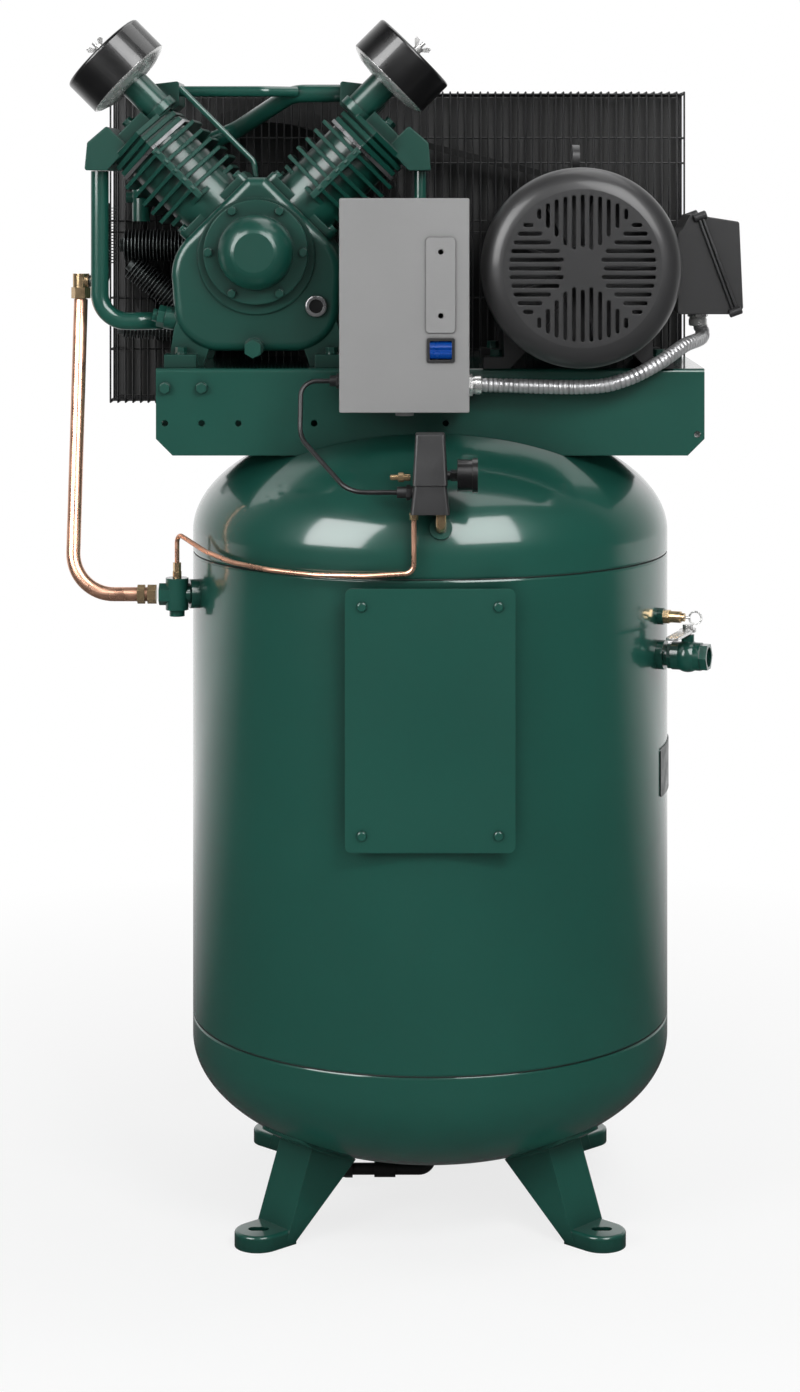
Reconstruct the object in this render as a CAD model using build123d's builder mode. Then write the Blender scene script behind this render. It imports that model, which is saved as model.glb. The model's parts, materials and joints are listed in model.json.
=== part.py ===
from build123d import *
import math
import os

os.makedirs("parts", exist_ok=True)

# Vertical tank compressor, millimetres.
# The origin is on the floor under the tank's axis: +X right, +Y to the back, +Z up.

# Air receiver
tank_radius = 381
wall = 5
lower_seam = 298
upper_seam = 1034
flange_height = 33
dome_height = 185
seam_groove = 1.5

# Feet
leg_width = 76
leg_wall = 5
leg_top_radius = 281
leg_top_height = 140
foot_center_x = 262
foot_center_y = 241
foot_radius = 37
foot_height = 24
slot_length = 32
slot_width = 16

# Platform
platform_half_x = 426
platform_half_y = 170
platform_top = 1334
apron_bottom = 1199
sheet = 5
foot_thickness = 20
motor_foot_thickness = 18
bolt_hole = 6

# Pump
crank_x = -273
crank_z = 1514
crank_throw = 38
rod_length = 150
deck_height = 93
skirt_height = 139
fin_pitch = 19.4
fin_count = 5
fin_thickness = 6
barrel_top = 228
head_base = 234
head_top = 267
low_bore = 51
high_bore = 35
low_bore_y = -45
high_bore_y = 50
rod_thickness = 14
rod_offset = 8
bank_front = -124
bank_back = 96
neck_v = -48
neck_y = -60
case_front = -120
case_back = 110
shaft_radius = 20
clearance = 0.05

# Drive
flywheel_pitch = 235
sheave_pitch = 135
motor_x = 230
motor_z = 1492.75
belt_y = (207, 233)
belt_width = 17
belt_depth = 11
motor_shaft_radius = 20.6
fan_cover_radius = 153
fan_cover_front = -300
fan_cover_rim = -240

# Belt guard
guard_left = -537
guard_right = 427
guard_bottom = 1255
guard_top = 1777
guard_front = 178
guard_back = 290
wire = 2.6

# Controls
box_left = -137
box_right = 59
box_bottom = 1276
box_top = 1599
box_front = -310
box_back = -176
rocker_x = 16
rocker_z = 1370


def bent_pipe(points, bend, outer, inner=0.0):
    """Round pipe along straight runs joined by bends of one radius."""
    with BuildPart() as pipe:
        with BuildLine() as path:
            FilletPolyline(*points, radius=bend)
        with BuildSketch(Plane(path.line ^ 0)):
            Circle(outer)
            if inner:
                Circle(inner, mode=Mode.SUBTRACT)
        sweep()
    return pipe.part


def ring_along(start, direction, outer, inner, length):
    """Cylinder or ring that starts at a point and runs along a direction."""
    with BuildPart() as ring:
        with BuildSketch(Plane(origin=start, z_dir=direction)):
            Circle(outer)
            if inner:
                Circle(inner, mode=Mode.SUBTRACT)
        extrude(amount=length)
    return ring.part


def hex_along(start, direction, across_flats, length, bore=0.0):
    """Hexagonal nut or head that starts at a point and runs along a direction."""
    with BuildPart() as nut:
        with BuildSketch(Plane(origin=start, z_dir=direction)):
            RegularPolygon(across_flats / 2, 6, major_radius=False)
            if bore:
                Circle(bore, mode=Mode.SUBTRACT)
        extrude(amount=length)
    return nut.part


def cap_screw(start, direction, shank, across_flats, head, length=0.0):
    """Hex-headed screw: a flanged head above a surface and a shank below it."""
    with BuildPart() as screw:
        with BuildSketch(Plane(origin=start, z_dir=direction)):
            Circle(across_flats * 0.62)
        extrude(amount=head * 0.25)
        with BuildSketch(Plane(origin=start, z_dir=direction)):
            RegularPolygon(across_flats / 2, 6, major_radius=False)
        extrude(amount=head)
        if length:
            with BuildSketch(Plane(origin=start, z_dir=direction)):
                Circle(shank)
            extrude(amount=-length)
    return screw.part


# ---------------------------------------------------------------- air receiver
top_tangent = upper_seam + flange_height
bottom_tangent = lower_seam - flange_height

with BuildPart() as tank_shell:
    with BuildSketch(Plane.XY.offset(lower_seam)):
        Circle(tank_radius)
        Circle(tank_radius - wall, mode=Mode.SUBTRACT)
    extrude(amount=upper_seam - lower_seam)
    for rim in tank_shell.faces().filter_by(Axis.Z):
        chamfer(rim.outer_wire().edges(), seam_groove)

with BuildPart() as top_head_solid:
    with BuildSketch(Plane.XZ):
        with BuildLine():
            Line((0, upper_seam), (tank_radius, upper_seam))
            Line((tank_radius, upper_seam), (tank_radius, top_tangent))
            EllipticalCenterArc((0, top_tangent), tank_radius, dome_height, start_angle=0, arc_size=90)
            Line((0, top_tangent + dome_height), (0, upper_seam))
        make_face()
    revolve(axis=Axis.Z)

with BuildPart() as tank_top_head:
    add(top_head_solid.part)
    with BuildSketch(Plane.XZ):
        with BuildLine():
            Line((0, upper_seam), (tank_radius - wall, upper_seam))
            Line((tank_radius - wall, upper_seam), (tank_radius - wall, top_tangent))
            EllipticalCenterArc(
                (0, top_tangent),
                tank_radius - wall,
                dome_height - wall,
                start_angle=0,
                arc_size=90,
            )
            Line((0, top_tangent + dome_height - wall), (0, upper_seam))
        make_face()
    revolve(axis=Axis.Z, mode=Mode.SUBTRACT)
    chamfer(tank_top_head.faces().sort_by(Axis.Z)[0].outer_wire().edges(), seam_groove)

bottom_head_solid = top_head_solid.part.mirror(Plane.XY.offset((lower_seam + upper_seam) / 2))
with BuildPart() as tank_bottom_head:
    mid_height = Plane.XY.offset((lower_seam + upper_seam) / 2)
    add(tank_top_head.part.mirror(mid_height))

# Welded bungs: (start inside the wall, direction, radius, thread radius, outer end from the start)
check_turn = math.radians(196)
valve_turn = math.radians(-20)
check_height = 976
valve_height = 884
safety_height = 944
switch_bung = (16, -318, 1090)
check_axis = (math.cos(check_turn), math.sin(check_turn), 0)
valve_axis = (math.cos(valve_turn), math.sin(valve_turn), 0)
bungs = [
    ((350 * check_axis[0], 350 * check_axis[1], check_height), check_axis, 23, 16.5, 44),
    ((350 * valve_axis[0], 350 * valve_axis[1], valve_height), valve_axis, 23, 16.5, 42),
    ((350 * valve_axis[0], 350 * valve_axis[1], safety_height), valve_axis, 13, 8, 40),
    (switch_bung, (0, -1, 0.35), 17, 8, 62),
    ((0, 0, 90), (0, 0, -1), 18, 9.5, 26),
]
with BuildPart() as tank_bungs:
    for start, direction, outer, bore, length in bungs:
        add(ring_along(start, direction, outer, bore, length))
    with BuildSketch(Plane.XZ):
        with BuildLine():
            Line((0, upper_seam - 900), (0, top_tangent + dome_height - wall))
            EllipticalCenterArc(
                (0, top_tangent),
                tank_radius - wall,
                dome_height - wall,
                start_angle=0,
                arc_size=90,
            )
            Line((tank_radius - wall, top_tangent), (tank_radius - wall, upper_seam - 900))
            Line((tank_radius - wall, upper_seam - 900), (0, upper_seam - 900))
        make_face()
    revolve(axis=Axis.Z, mode=Mode.SUBTRACT)
for cut_body in (tank_shell, tank_top_head, tank_bottom_head):
    with cut_body:
        for start, direction, outer, bore, length in bungs:
            add(ring_along(start, direction, outer, 0, length), mode=Mode.SUBTRACT)

# ---------------------------------------------------------------- legs
foot_turn = math.degrees(math.atan2(foot_center_y, foot_center_x))
foot_reach = math.hypot(foot_center_x, foot_center_y)
leg_turns = (foot_turn, 180 - foot_turn, 180 + foot_turn, 360 - foot_turn)
web_slope = 0.3826
pad_sheet = 4


def web_radius(height):
    """Distance of a leg's outer face from the tank's axis at a height."""
    return leg_top_radius + (leg_top_height - height) * web_slope


with BuildPart() as pad_envelope:
    with BuildSketch(Plane.XZ):
        with BuildLine():
            Line((0, bottom_tangent), (tank_radius + pad_sheet, bottom_tangent))
            EllipticalCenterArc(
                (0, bottom_tangent),
                tank_radius + pad_sheet,
                dome_height + pad_sheet,
                start_angle=0,
                arc_size=-90,
            )
            Line((0, bottom_tangent - dome_height - pad_sheet), (0, bottom_tangent))
        make_face()
    revolve(axis=Axis.Z)

# One leg, standing in the plane Y = 0 with the tank's axis at the origin.
with BuildPart() as leg:
    with BuildSketch(Plane.XZ):
        Polygon(
            (web_radius(172), 172),
            (web_radius(3), 3),
            (315, 3),
            (190, 104),
            (190, 172),
            align=None,
        )
    extrude(amount=leg_width / 2, both=True)
    with BuildSketch(Plane.XZ):
        Polygon(
            (web_radius(200) - leg_wall, 200),
            (web_radius(-40) - leg_wall, -40),
            (100, -40),
            (100, 200),
            align=None,
        )
    extrude(amount=leg_width / 2 - leg_wall, both=True, mode=Mode.SUBTRACT)
    add(pad_envelope.part, mode=Mode.SUBTRACT)
with BuildPart() as foot_pad:
    with BuildSketch():
        with Locations((foot_reach, 0)):
            Circle(foot_radius)
        with Locations((foot_reach - 22, 0)):
            Rectangle(44, 2 * foot_radius)
    extrude(amount=foot_height)
    fillet(foot_pad.faces().sort_by(Axis.Z)[-1].edges(), 5)
with BuildPart() as leg_set:
    for turn in leg_turns:
        add(leg.part.rotate(Axis.Z, turn))
        add(foot_pad.part.rotate(Axis.Z, turn))
    with BuildSketch(Plane.XY):
        with GridLocations(2 * foot_center_x, 2 * foot_center_y, 2, 2):
            SlotOverall(slot_length, slot_width)
    extrude(amount=foot_height + 10, mode=Mode.SUBTRACT)

with BuildPart() as pad_outline:
    with BuildSketch(Plane.XY):
        with Locations((256, 0)):
            RectangleRounded(118, 108, 20)
    extrude(amount=230)
    with BuildSketch(Plane.XY):
        with Locations((303, 0)):
            Circle(6)
    extrude(amount=230, mode=Mode.SUBTRACT)
with BuildPart() as leg_pads:
    for turn in leg_turns:
        add(pad_outline.part.rotate(Axis.Z, turn))
    add(pad_envelope.part, mode=Mode.INTERSECT)
    add(bottom_head_solid, mode=Mode.SUBTRACT)

with BuildPart() as tank_legs:
    add(leg_set.part)
    add(leg_pads.part)
tank_legs.part.label = "tank_legs"
export_step(tank_legs.part, "parts/tank_legs.step")
tank_shell.part.label = "tank_shell"
export_step(tank_shell.part, "parts/tank_shell.step")
tank_top_head.part.label = "tank_top_head"
export_step(tank_top_head.part, "parts/tank_top_head.step")
tank_bottom_head.part.label = "tank_bottom_head"
export_step(tank_bottom_head.part, "parts/tank_bottom_head.step")
tank_bungs.part.label = "tank_bungs"
export_step(tank_bungs.part, "parts/tank_bungs.step")

# ---------------------------------------------------------------- front plate
plate_half_x = 126
plate_low = 633
plate_high = 1023
plate_front = -394
plate_sheet = 3
plate_bolt_x = 101
plate_bolt_low = 658
plate_bolt_high = 996
plate_middle = (plate_low + plate_high) / 2
bolt_middle = (plate_bolt_low + plate_bolt_high) / 2
plate_bolt_gap = plate_bolt_high - plate_bolt_low

with BuildPart() as front_plate:
    with BuildSketch(Plane.XZ.offset(-plate_front)):
        with Locations((0, plate_middle)):
            RectangleRounded(2 * plate_half_x, plate_high - plate_low, 10)
        with Locations((0, bolt_middle)):
            with GridLocations(2 * plate_bolt_x, plate_bolt_gap, 2, 2):
                Circle(3.3, mode=Mode.SUBTRACT)
    extrude(amount=-plate_sheet)
front_plate.part.label = "front_plate"
export_step(front_plate.part, "parts/front_plate.step")

with BuildPart() as plate_bolts:
    with BuildSketch(Plane.XZ.offset(-plate_front)):
        with Locations((0, bolt_middle)):
            with GridLocations(2 * plate_bolt_x, plate_bolt_gap, 2, 2):
                Circle(7.5)
    extrude(amount=4)
    fillet(plate_bolts.faces().filter_by(Axis.Y).group_by(Axis.Y)[0].edges(), 3)
    with BuildSketch(Plane.XZ.offset(-plate_front)):
        with Locations((0, bolt_middle)):
            with GridLocations(2 * plate_bolt_x, plate_bolt_gap, 2, 2):
                Circle(3.2)
    extrude(amount=-plate_sheet)
    with BuildSketch(Plane.XZ.offset(-plate_front - plate_sheet)):
        with Locations((0, bolt_middle)):
            with GridLocations(2 * plate_bolt_x, plate_bolt_gap, 2, 2):
                Circle(9)
    extrude(amount=-60)
    with BuildSketch(Plane.XY.offset(500)):
        Circle(tank_radius)
    extrude(amount=600, mode=Mode.SUBTRACT)
plate_bolts.part.label = "plate_bolts"
export_step(plate_bolts.part, "parts/plate_bolts.step")

# A curved rating plate, left blank, on the right of the shell.
with BuildPart() as data_plate:
    with BuildSketch(Plane.XY.offset(655)):
        Circle(tank_radius + 2)
        Circle(tank_radius, mode=Mode.SUBTRACT)
    extrude(amount=85)
    with BuildSketch(Plane.YZ):
        with Locations((-60, 697)):
            RectangleRounded(130, 76, 5)
    extrude(amount=500, mode=Mode.INTERSECT)
data_plate.part.label = "data_plate"
export_step(data_plate.part, "parts/data_plate.step")

# ---------------------------------------------------------------- platform
apron_chamfer = 26
apron_hole_z = 1249
apron_bolt_z = 1304
apron_holes = (-412, -355, -298, -180, 24)
pump_foot_x = (-391, -155)
pump_foot_y = (-122, 112)
motor_foot_x = (motor_x - 127, motor_x + 127)
motor_foot_y = (-150, 104)
box_bolt_x = (-100, 20)
box_bolt_z = 1300

with BuildPart() as platform:
    with BuildSketch(Plane.XZ):
        Polygon(
            (-platform_half_x, platform_top),
            (platform_half_x, platform_top),
            (platform_half_x, apron_bottom + apron_chamfer),
            (platform_half_x - apron_chamfer, apron_bottom),
            (-platform_half_x + apron_chamfer, apron_bottom),
            (-platform_half_x, apron_bottom + apron_chamfer),
            align=None,
        )
    extrude(amount=platform_half_y, both=True)
    fillet(platform.edges().filter_by(Axis.X).sort_by(Axis.Z)[-2:], 6)
    with Locations((0, 0, platform_top - sheet)):
        Box(
            2 * (platform_half_x - sheet),
            2 * (platform_half_y - sheet),
            300,
            align=(Align.CENTER, Align.CENTER, Align.MAX),
            mode=Mode.SUBTRACT,
        )
    add(top_head_solid.part, mode=Mode.SUBTRACT)
    with BuildSketch(Plane.XZ.offset(platform_half_y)):
        with Locations(*[(x, apron_hole_z) for x in apron_holes]):
            Circle(5)
        with Locations((415, 1232)):
            Circle(5)
        with Locations((-412, apron_bolt_z), (-355, apron_bolt_z)):
            Circle(5)
        with Locations(*[(x, box_bolt_z) for x in box_bolt_x]):
            Circle(4)
    extrude(amount=-sheet, mode=Mode.SUBTRACT)
    with BuildSketch(Plane.XY.offset(platform_top)):
        with Locations(*[(x, y) for x in pump_foot_x for y in pump_foot_y]):
            Circle(bolt_hole)
        with Locations(*[(x, y) for x in motor_foot_x for y in motor_foot_y]):
            Circle(bolt_hole)
    extrude(amount=-sheet, mode=Mode.SUBTRACT)
platform.part.label = "platform"
export_step(platform.part, "parts/platform.step")

# ---------------------------------------------------------------- crankcase
# Bank frame of the right bank: u runs out along the bank, v runs outward and down.
lean = math.sqrt(0.5)


def bank_level(height):
    """Plane across the right bank at a height: its x is v, its y is world Y."""
    return Plane(
        origin=(crank_x + lean * height, 0, crank_z + lean * height),
        x_dir=(lean, 0, -lean),
        z_dir=(lean, 0, lean),
    )


def bank_side(depth):
    """Plane along the right bank at a depth: its x is v, its y is u, it faces the front."""
    return Plane(origin=(crank_x, depth, crank_z), x_dir=(lean, 0, -lean), z_dir=(0, -1, 0))


def case_side(depth):
    """Upright plane at a depth, centred on the crankshaft, facing the front."""
    return Plane(origin=(crank_x, depth, crank_z), x_dir=(1, 0, 0), z_dir=(0, -1, 0))


def bank_point(u, v, depth=0.0, side=1):
    """World point of a bank position; side is 1 for the right bank and -1 for the left."""
    return (crank_x + side * lean * (u + v), depth, crank_z + lean * (u - v))


bank_mirror = Plane.YZ.offset(crank_x)
case_wall = 9
case_round = 14
cover_radius = 82
cover_face = -138
cover_bolt_radius = 74.5
bearing_radius = 40
rear_boss_back = 124

with BuildSketch(case_side(case_front)) as case_profile:
    with BuildLine():
        Line((0, 117.4), (14.1, 117.4))
        Line((14.1, 117.4), (113.8, 17.7))
        ThreePointArc((113.8, 17.7), (129, -8), (134, -38))
        Line((134, -38), (130, -90))
        ThreePointArc((130, -90), (110, -134), (62, -156))
        Line((62, -156), (0, -156))
        mirror(about=Plane.YZ)
    make_face()
with BuildSketch(case_side(case_front + case_wall)) as case_hollow:
    with BuildLine():
        Line((0, 108), (10, 108))
        Line((10, 108), (104, 14))
        ThreePointArc((104, 14), (120, -10), (125, -38))
        Line((125, -38), (121, -90))
        ThreePointArc((121, -90), (104, -128), (60, -147))
        Line((60, -147), (0, -147))
        mirror(about=Plane.YZ)
    make_face()

filler_point = (-385, -92, 1404)
filler_axis = (-0.98, 0, 0.2)
filler_boss = 34
drain_front = -132
drain_x = -3
drain_z = -150
sight_x = 94
sight_z = -85
with BuildPart() as bore_cutters:
    with BuildSketch(bank_level(deck_height)):
        with Locations((0, low_bore_y)):
            Circle(low_bore + 1)
        with Locations((0, high_bore_y)):
            Circle(high_bore + 6)
    extrude(amount=-24)
    mirror(about=bank_mirror)

with BuildPart() as crankcase:
    extrude(case_profile.sketch, amount=case_front - case_back)
    fillet(crankcase.faces().sort_by(Axis.Y)[0].edges(), case_round)
    with BuildSketch(case_side(case_front + case_wall)):
        with Locations((0, -6)):
            Circle(92)
    extrude(amount=case_wall + 4)
    with BuildSketch(case_side(case_back)):
        Circle(62)
    extrude(amount=case_back - rear_boss_back)
    # Feet: a pad under each corner with a leg up to the case wall.
    for x in pump_foot_x:
        for y in pump_foot_y:
            with Locations((x, y, platform_top)):
                Box(50, 40, foot_thickness, align=(Align.CENTER, Align.CENTER, Align.MIN))
            inward = 1 if x < crank_x else -1
            web_front = y + (10 if y < 0 else -20)
            with BuildSketch(Plane.XZ.offset(-web_front)):
                Polygon(
                    (x - inward * 20, platform_top + 4),
                    (x + inward * 34, platform_top),
                    (x + inward * 52, platform_top + 52),
                    (x + inward * 10, platform_top + 120),
                    (x - inward * 12, platform_top + 60),
                    align=None,
                )
            extrude(amount=-10)
    # Filler boss on the left and the rib round the sump.
    add(ring_along(filler_point, filler_axis, 18, 0, filler_boss))
    # Boss for the oil drain at the bottom of the sump.
    with BuildSketch(case_side(drain_front)):
        with Locations((drain_x, drain_z)):
            Circle(15)
    extrude(amount=-50)
    extrude(case_hollow.sketch, amount=case_front - case_back + 2 * case_wall, mode=Mode.SUBTRACT)
    # Bores for the cover's spigot and the rear bearing.
    with BuildSketch(case_side(case_front - 4)):
        Circle(58)
    extrude(amount=-case_wall - 8, mode=Mode.SUBTRACT)
    with BuildSketch(case_side(case_back - case_wall - 2)):
        Circle(bearing_radius)
    extrude(amount=-20, mode=Mode.SUBTRACT)
    with BuildSketch(case_side(case_back)):
        Circle(shaft_radius + 1)
    extrude(amount=-20, mode=Mode.SUBTRACT)
    add(bore_cutters.part, mode=Mode.SUBTRACT)
    # Oil drain, filler and sight glass holes.
    with BuildSketch(case_side(case_front - 2)):
        with Locations((sight_x, sight_z)):
            Circle(13)
    extrude(amount=-case_wall - 6, mode=Mode.SUBTRACT)
    add(ring_along(filler_point, filler_axis, 12, 0, 60), mode=Mode.SUBTRACT)
    with BuildSketch(case_side(drain_front)):
        with Locations((drain_x, drain_z)):
            Circle(8)
    extrude(amount=-30, mode=Mode.SUBTRACT)
    with BuildSketch(Plane.XY.offset(platform_top)):
        with Locations(*[(x, y) for x in pump_foot_x for y in pump_foot_y]):
            Circle(bolt_hole)
    extrude(amount=foot_thickness, mode=Mode.SUBTRACT)
crankcase.part.label = "crankcase"
export_step(crankcase.part, "parts/crankcase.step")

with BuildPart() as front_bearing_cover:
    with BuildSketch(Plane(origin=(crank_x, 0, crank_z), x_dir=(1, 0, 0), z_dir=(0, 0, 1))):
        with BuildLine():
            Polyline(
                (0, -190),
                (31, -190),
                (36, -188),
            )
            ThreePointArc((36, -188), (51, -174), (58.6, -150))
            Polyline(
                (58.6, -150),
                (58.6, cover_face),
                (cover_radius, cover_face),
                (cover_radius, -124.2),
                (57.9, -124.2),
                (57.9, -116),
                (bearing_radius, -116),
                (bearing_radius, -144),
                (26, -148),
                (26, -176),
                (0, -176),
                (0, -190),
            )
        make_face()
    revolve(axis=Axis((crank_x, 0, crank_z), (0, 1, 0)))
    with BuildSketch(case_side(cover_face)):
        with PolarLocations(cover_bolt_radius, 6):
            Circle(4)
    extrude(amount=-20, mode=Mode.SUBTRACT)
front_bearing_cover.part.label = "front_bearing_cover"
export_step(front_bearing_cover.part, "parts/front_bearing_cover.step")

with BuildPart() as bearings:
    for start in (-142, case_back - case_wall - 2):
        with BuildSketch(case_side(start)):
            Circle(bearing_radius)
            Circle(shaft_radius + clearance, mode=Mode.SUBTRACT)
        extrude(amount=-20)
    for start in (-225, 40):
        with BuildSketch(Plane(origin=(motor_x, start, motor_z), z_dir=(0, 1, 0))):
            Circle(45)
            Circle(motor_shaft_radius + clearance, mode=Mode.SUBTRACT)
        extrude(amount=18)
bearings.part.label = "bearings"
export_step(bearings.part, "parts/bearings.step")

# ---------------------------------------------------------------- crank and flywheel
web_near = 74
web_far = 88
with BuildPart() as crankshaft:
    for near, far, journal_end in ((-web_near, -web_far, -146), (web_near, web_far, 256)):
        with BuildSketch(case_side(near)):
            Circle(28)
            with Locations((0, crank_throw)):
                Circle(26)
            with BuildLine():
                Line((-28, 0), (28, 0))
                Line((28, 0), (58, -44))
                ThreePointArc((58, -44), (0, -73), (-58, -44))
                Line((-58, -44), (-28, 0))
            make_face()
            Rectangle(50, crank_throw, align=(Align.CENTER, Align.MIN))
        extrude(amount=near - far)
        with BuildSketch(case_side(far)):
            Circle(shaft_radius)
        extrude(amount=far - journal_end)
crankshaft.part.label = "crankshaft"
export_step(crankshaft.part, "parts/crankshaft.step")


def groove_points(pitch, depth, gap):
    """Outline of one belt groove: radius against depth position along Y."""
    half = belt_width / 2 + gap
    foot = half - 3.4
    return [
        (pitch + 9, depth - half - 0.8),
        (pitch + 9, depth + half + 0.8),
        (pitch + 3, depth + half),
        (pitch + 3 - belt_depth - gap, depth + foot),
        (pitch + 3 - belt_depth - gap, depth - foot),
        (pitch + 3, depth - half),
    ]


rim_front = 190
rim_back = 250
hub_front = 182
spoke_count = 6
with BuildPart() as flywheel:
    with BuildSketch(case_side(rim_front)):
        Circle(flywheel_pitch + 5)
        Circle(flywheel_pitch - 24, mode=Mode.SUBTRACT)
    extrude(amount=rim_front - rim_back)
    with BuildSketch(case_side(hub_front)):
        Circle(42)
    extrude(amount=hub_front - rim_back)
    for k in range(spoke_count):
        turn = 2 * math.pi * k / spoke_count
        blade = Plane(
            origin=(crank_x, (rim_front + rim_back) / 2, crank_z),
            x_dir=(math.cos(turn), 0, math.sin(turn)),
            z_dir=(-math.sin(turn) * 0.82, 0.57, math.cos(turn) * 0.82),
        )
        with BuildSketch(blade):
            with Locations((126, 0)):
                Rectangle(186, 52)
        extrude(amount=5, both=True)
    with BuildSketch(Plane(origin=(crank_x, 0, crank_z), x_dir=(1, 0, 0), z_dir=(0, 0, 1))):
        for depth in belt_y:
            Polygon(*groove_points(flywheel_pitch, depth, 0.4), align=None)
    revolve(axis=Axis((crank_x, 0, crank_z), (0, 1, 0)), mode=Mode.SUBTRACT)
    with BuildSketch(case_side(100)):
        Circle(shaft_radius)
    extrude(amount=-200, mode=Mode.SUBTRACT)
flywheel.part.label = "flywheel"
export_step(flywheel.part, "parts/flywheel.step")

# ---------------------------------------------------------------- pistons and rods
# At rest the crankpin stands straight up, so both banks are the same height from the top.
pin_side = -crank_throw * lean
pin_height = crank_throw * lean + math.sqrt(rod_length**2 - pin_side**2)
crown = 36
skirt = 30
pin_radius = 9

with BuildPart() as right_pistons:
    for depth, bore, wall_in in ((low_bore_y, low_bore, 7), (high_bore_y, high_bore, 5)):
        with BuildSketch(bank_level(pin_height - skirt)):
            with Locations((0, depth)):
                Circle(bore - clearance)
        extrude(amount=skirt + crown)
        with BuildSketch(bank_level(pin_height - skirt)):
            with Locations((0, depth)):
                Circle(bore - wall_in)
        extrude(amount=skirt + crown - 9, mode=Mode.SUBTRACT)
        with BuildSketch(bank_side(depth - bore + 3)):
            with Locations((0, pin_height)):
                Circle(pin_radius)
        extrude(amount=-2 * bore + 6)
        for groove in (8, 16, 24):
            with BuildSketch(bank_level(pin_height + crown - groove)):
                with Locations((0, depth)):
                    Circle(bore + 2)
                    Circle(bore - 3, mode=Mode.SUBTRACT)
            extrude(amount=2.5, mode=Mode.SUBTRACT)
with BuildPart() as right_rods:
    for depth in (low_bore_y, high_bore_y):
        rod_plane = bank_side(depth + rod_offset - rod_thickness / 2)
        with BuildSketch(rod_plane):
            with Locations((0, pin_height)):
                Circle(16)
            with Locations((pin_side, -pin_side)):
                Circle(25)
            Polygon(
                (-5, pin_height),
                (5, pin_height),
                (pin_side + 6, -pin_side),
                (pin_side - 6, -pin_side),
                align=None,
            )
            with Locations((0, pin_height)):
                Circle(pin_radius + clearance, mode=Mode.SUBTRACT)
            with Locations((pin_side, -pin_side)):
                Circle(19.5, mode=Mode.SUBTRACT)
        extrude(amount=-rod_thickness)
with BuildPart() as pistons_right:
    add(right_pistons.part)
pistons_right.part.label = "pistons_right"
export_step(pistons_right.part, "parts/pistons_right.step")
with BuildPart() as pistons_left:
    add(right_pistons.part.mirror(bank_mirror))
pistons_left.part.label = "pistons_left"
export_step(pistons_left.part, "parts/pistons_left.step")
with BuildPart() as rods_right:
    add(right_rods.part)
rods_right.part.label = "rods_right"
export_step(rods_right.part, "parts/rods_right.step")
with BuildPart() as rods_left:
    add(right_rods.part.mirror(bank_mirror).translate((0, -2 * rod_offset, 0)))
rods_left.part.label = "rods_left"
export_step(rods_left.part, "parts/rods_left.step")

# ---------------------------------------------------------------- cylinders and heads
bank_shoulder = -66
barrel_wall = 6
neck_radius = 24
neck_bore = 15
neck_base = 262
filter_base = 341
screw_side = (-62, 58)
screw_depth = (-88, 80)


def bank_outline(inner, outer, front, back, shoulder):
    """Section of the bank: a ridge at the front and a flat back."""
    return Polygon(
        (inner, shoulder),
        (0, front),
        (outer, shoulder),
        (outer, back),
        (inner, back),
        align=None,
    )


with BuildPart() as right_cylinder:
    with BuildSketch(bank_level(deck_height)):
        with Locations((-2.5, -4)):
            RectangleRounded(141, 188, 12)
    extrude(amount=13)
    with BuildSketch(bank_level(deck_height)):
        with Locations((0, low_bore_y)):
            Circle(low_bore + barrel_wall)
        with Locations((0, high_bore_y)):
            Circle(high_bore + barrel_wall)
        with Locations((0, 10)):
            Rectangle(60, 100)
    extrude(amount=barrel_top - deck_height)
    with BuildSketch(bank_level(skirt_height - 16)):
        bank_outline(-66, 68, bank_front + 10, bank_back - 8, bank_shoulder + 6)
    extrude(amount=7)
    for k in range(fin_count):
        with BuildSketch(bank_level(skirt_height + fin_pitch * k)):
            bank_outline(-74, 78, bank_front, bank_back, bank_shoulder)
        extrude(amount=fin_thickness)
    # The rib down the front joins the fins.
    with BuildSketch(bank_level(skirt_height - 16)):
        with Locations((0, bank_front + 15)):
            Rectangle(11, 26)
    extrude(amount=barrel_top - skirt_height + 16)
    with BuildSketch(bank_level(deck_height)):
        with Locations((0, low_bore_y)):
            Circle(low_bore)
        with Locations((0, high_bore_y)):
            Circle(high_bore)
    extrude(amount=200, mode=Mode.SUBTRACT)
    with BuildSketch(bank_level(deck_height)):
        with Locations(*[(v, y) for v in screw_side for y in screw_depth]):
            Circle(4.2)
    extrude(amount=13, mode=Mode.SUBTRACT)
with BuildPart() as cylinders:
    add(right_cylinder.part)
    add(right_cylinder.part.mirror(bank_mirror))
cylinders.part.label = "cylinders"
export_step(cylinders.part, "parts/cylinders.step")

with BuildPart() as right_plate:
    with BuildSketch(bank_level(barrel_top)):
        bank_outline(-64, 68, bank_front + 3, bank_back - 3, bank_shoulder - 2)
        with Locations((-22, low_bore_y), (22, low_bore_y)):
            Circle(11, mode=Mode.SUBTRACT)
        with Locations((-14, high_bore_y), (14, high_bore_y)):
            Circle(7, mode=Mode.SUBTRACT)
    extrude(amount=head_base - barrel_top)
with BuildPart() as valve_plates:
    add(right_plate.part)
    add(right_plate.part.mirror(bank_mirror))
valve_plates.part.label = "valve_plates"
export_step(valve_plates.part, "parts/valve_plates.step")

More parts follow.
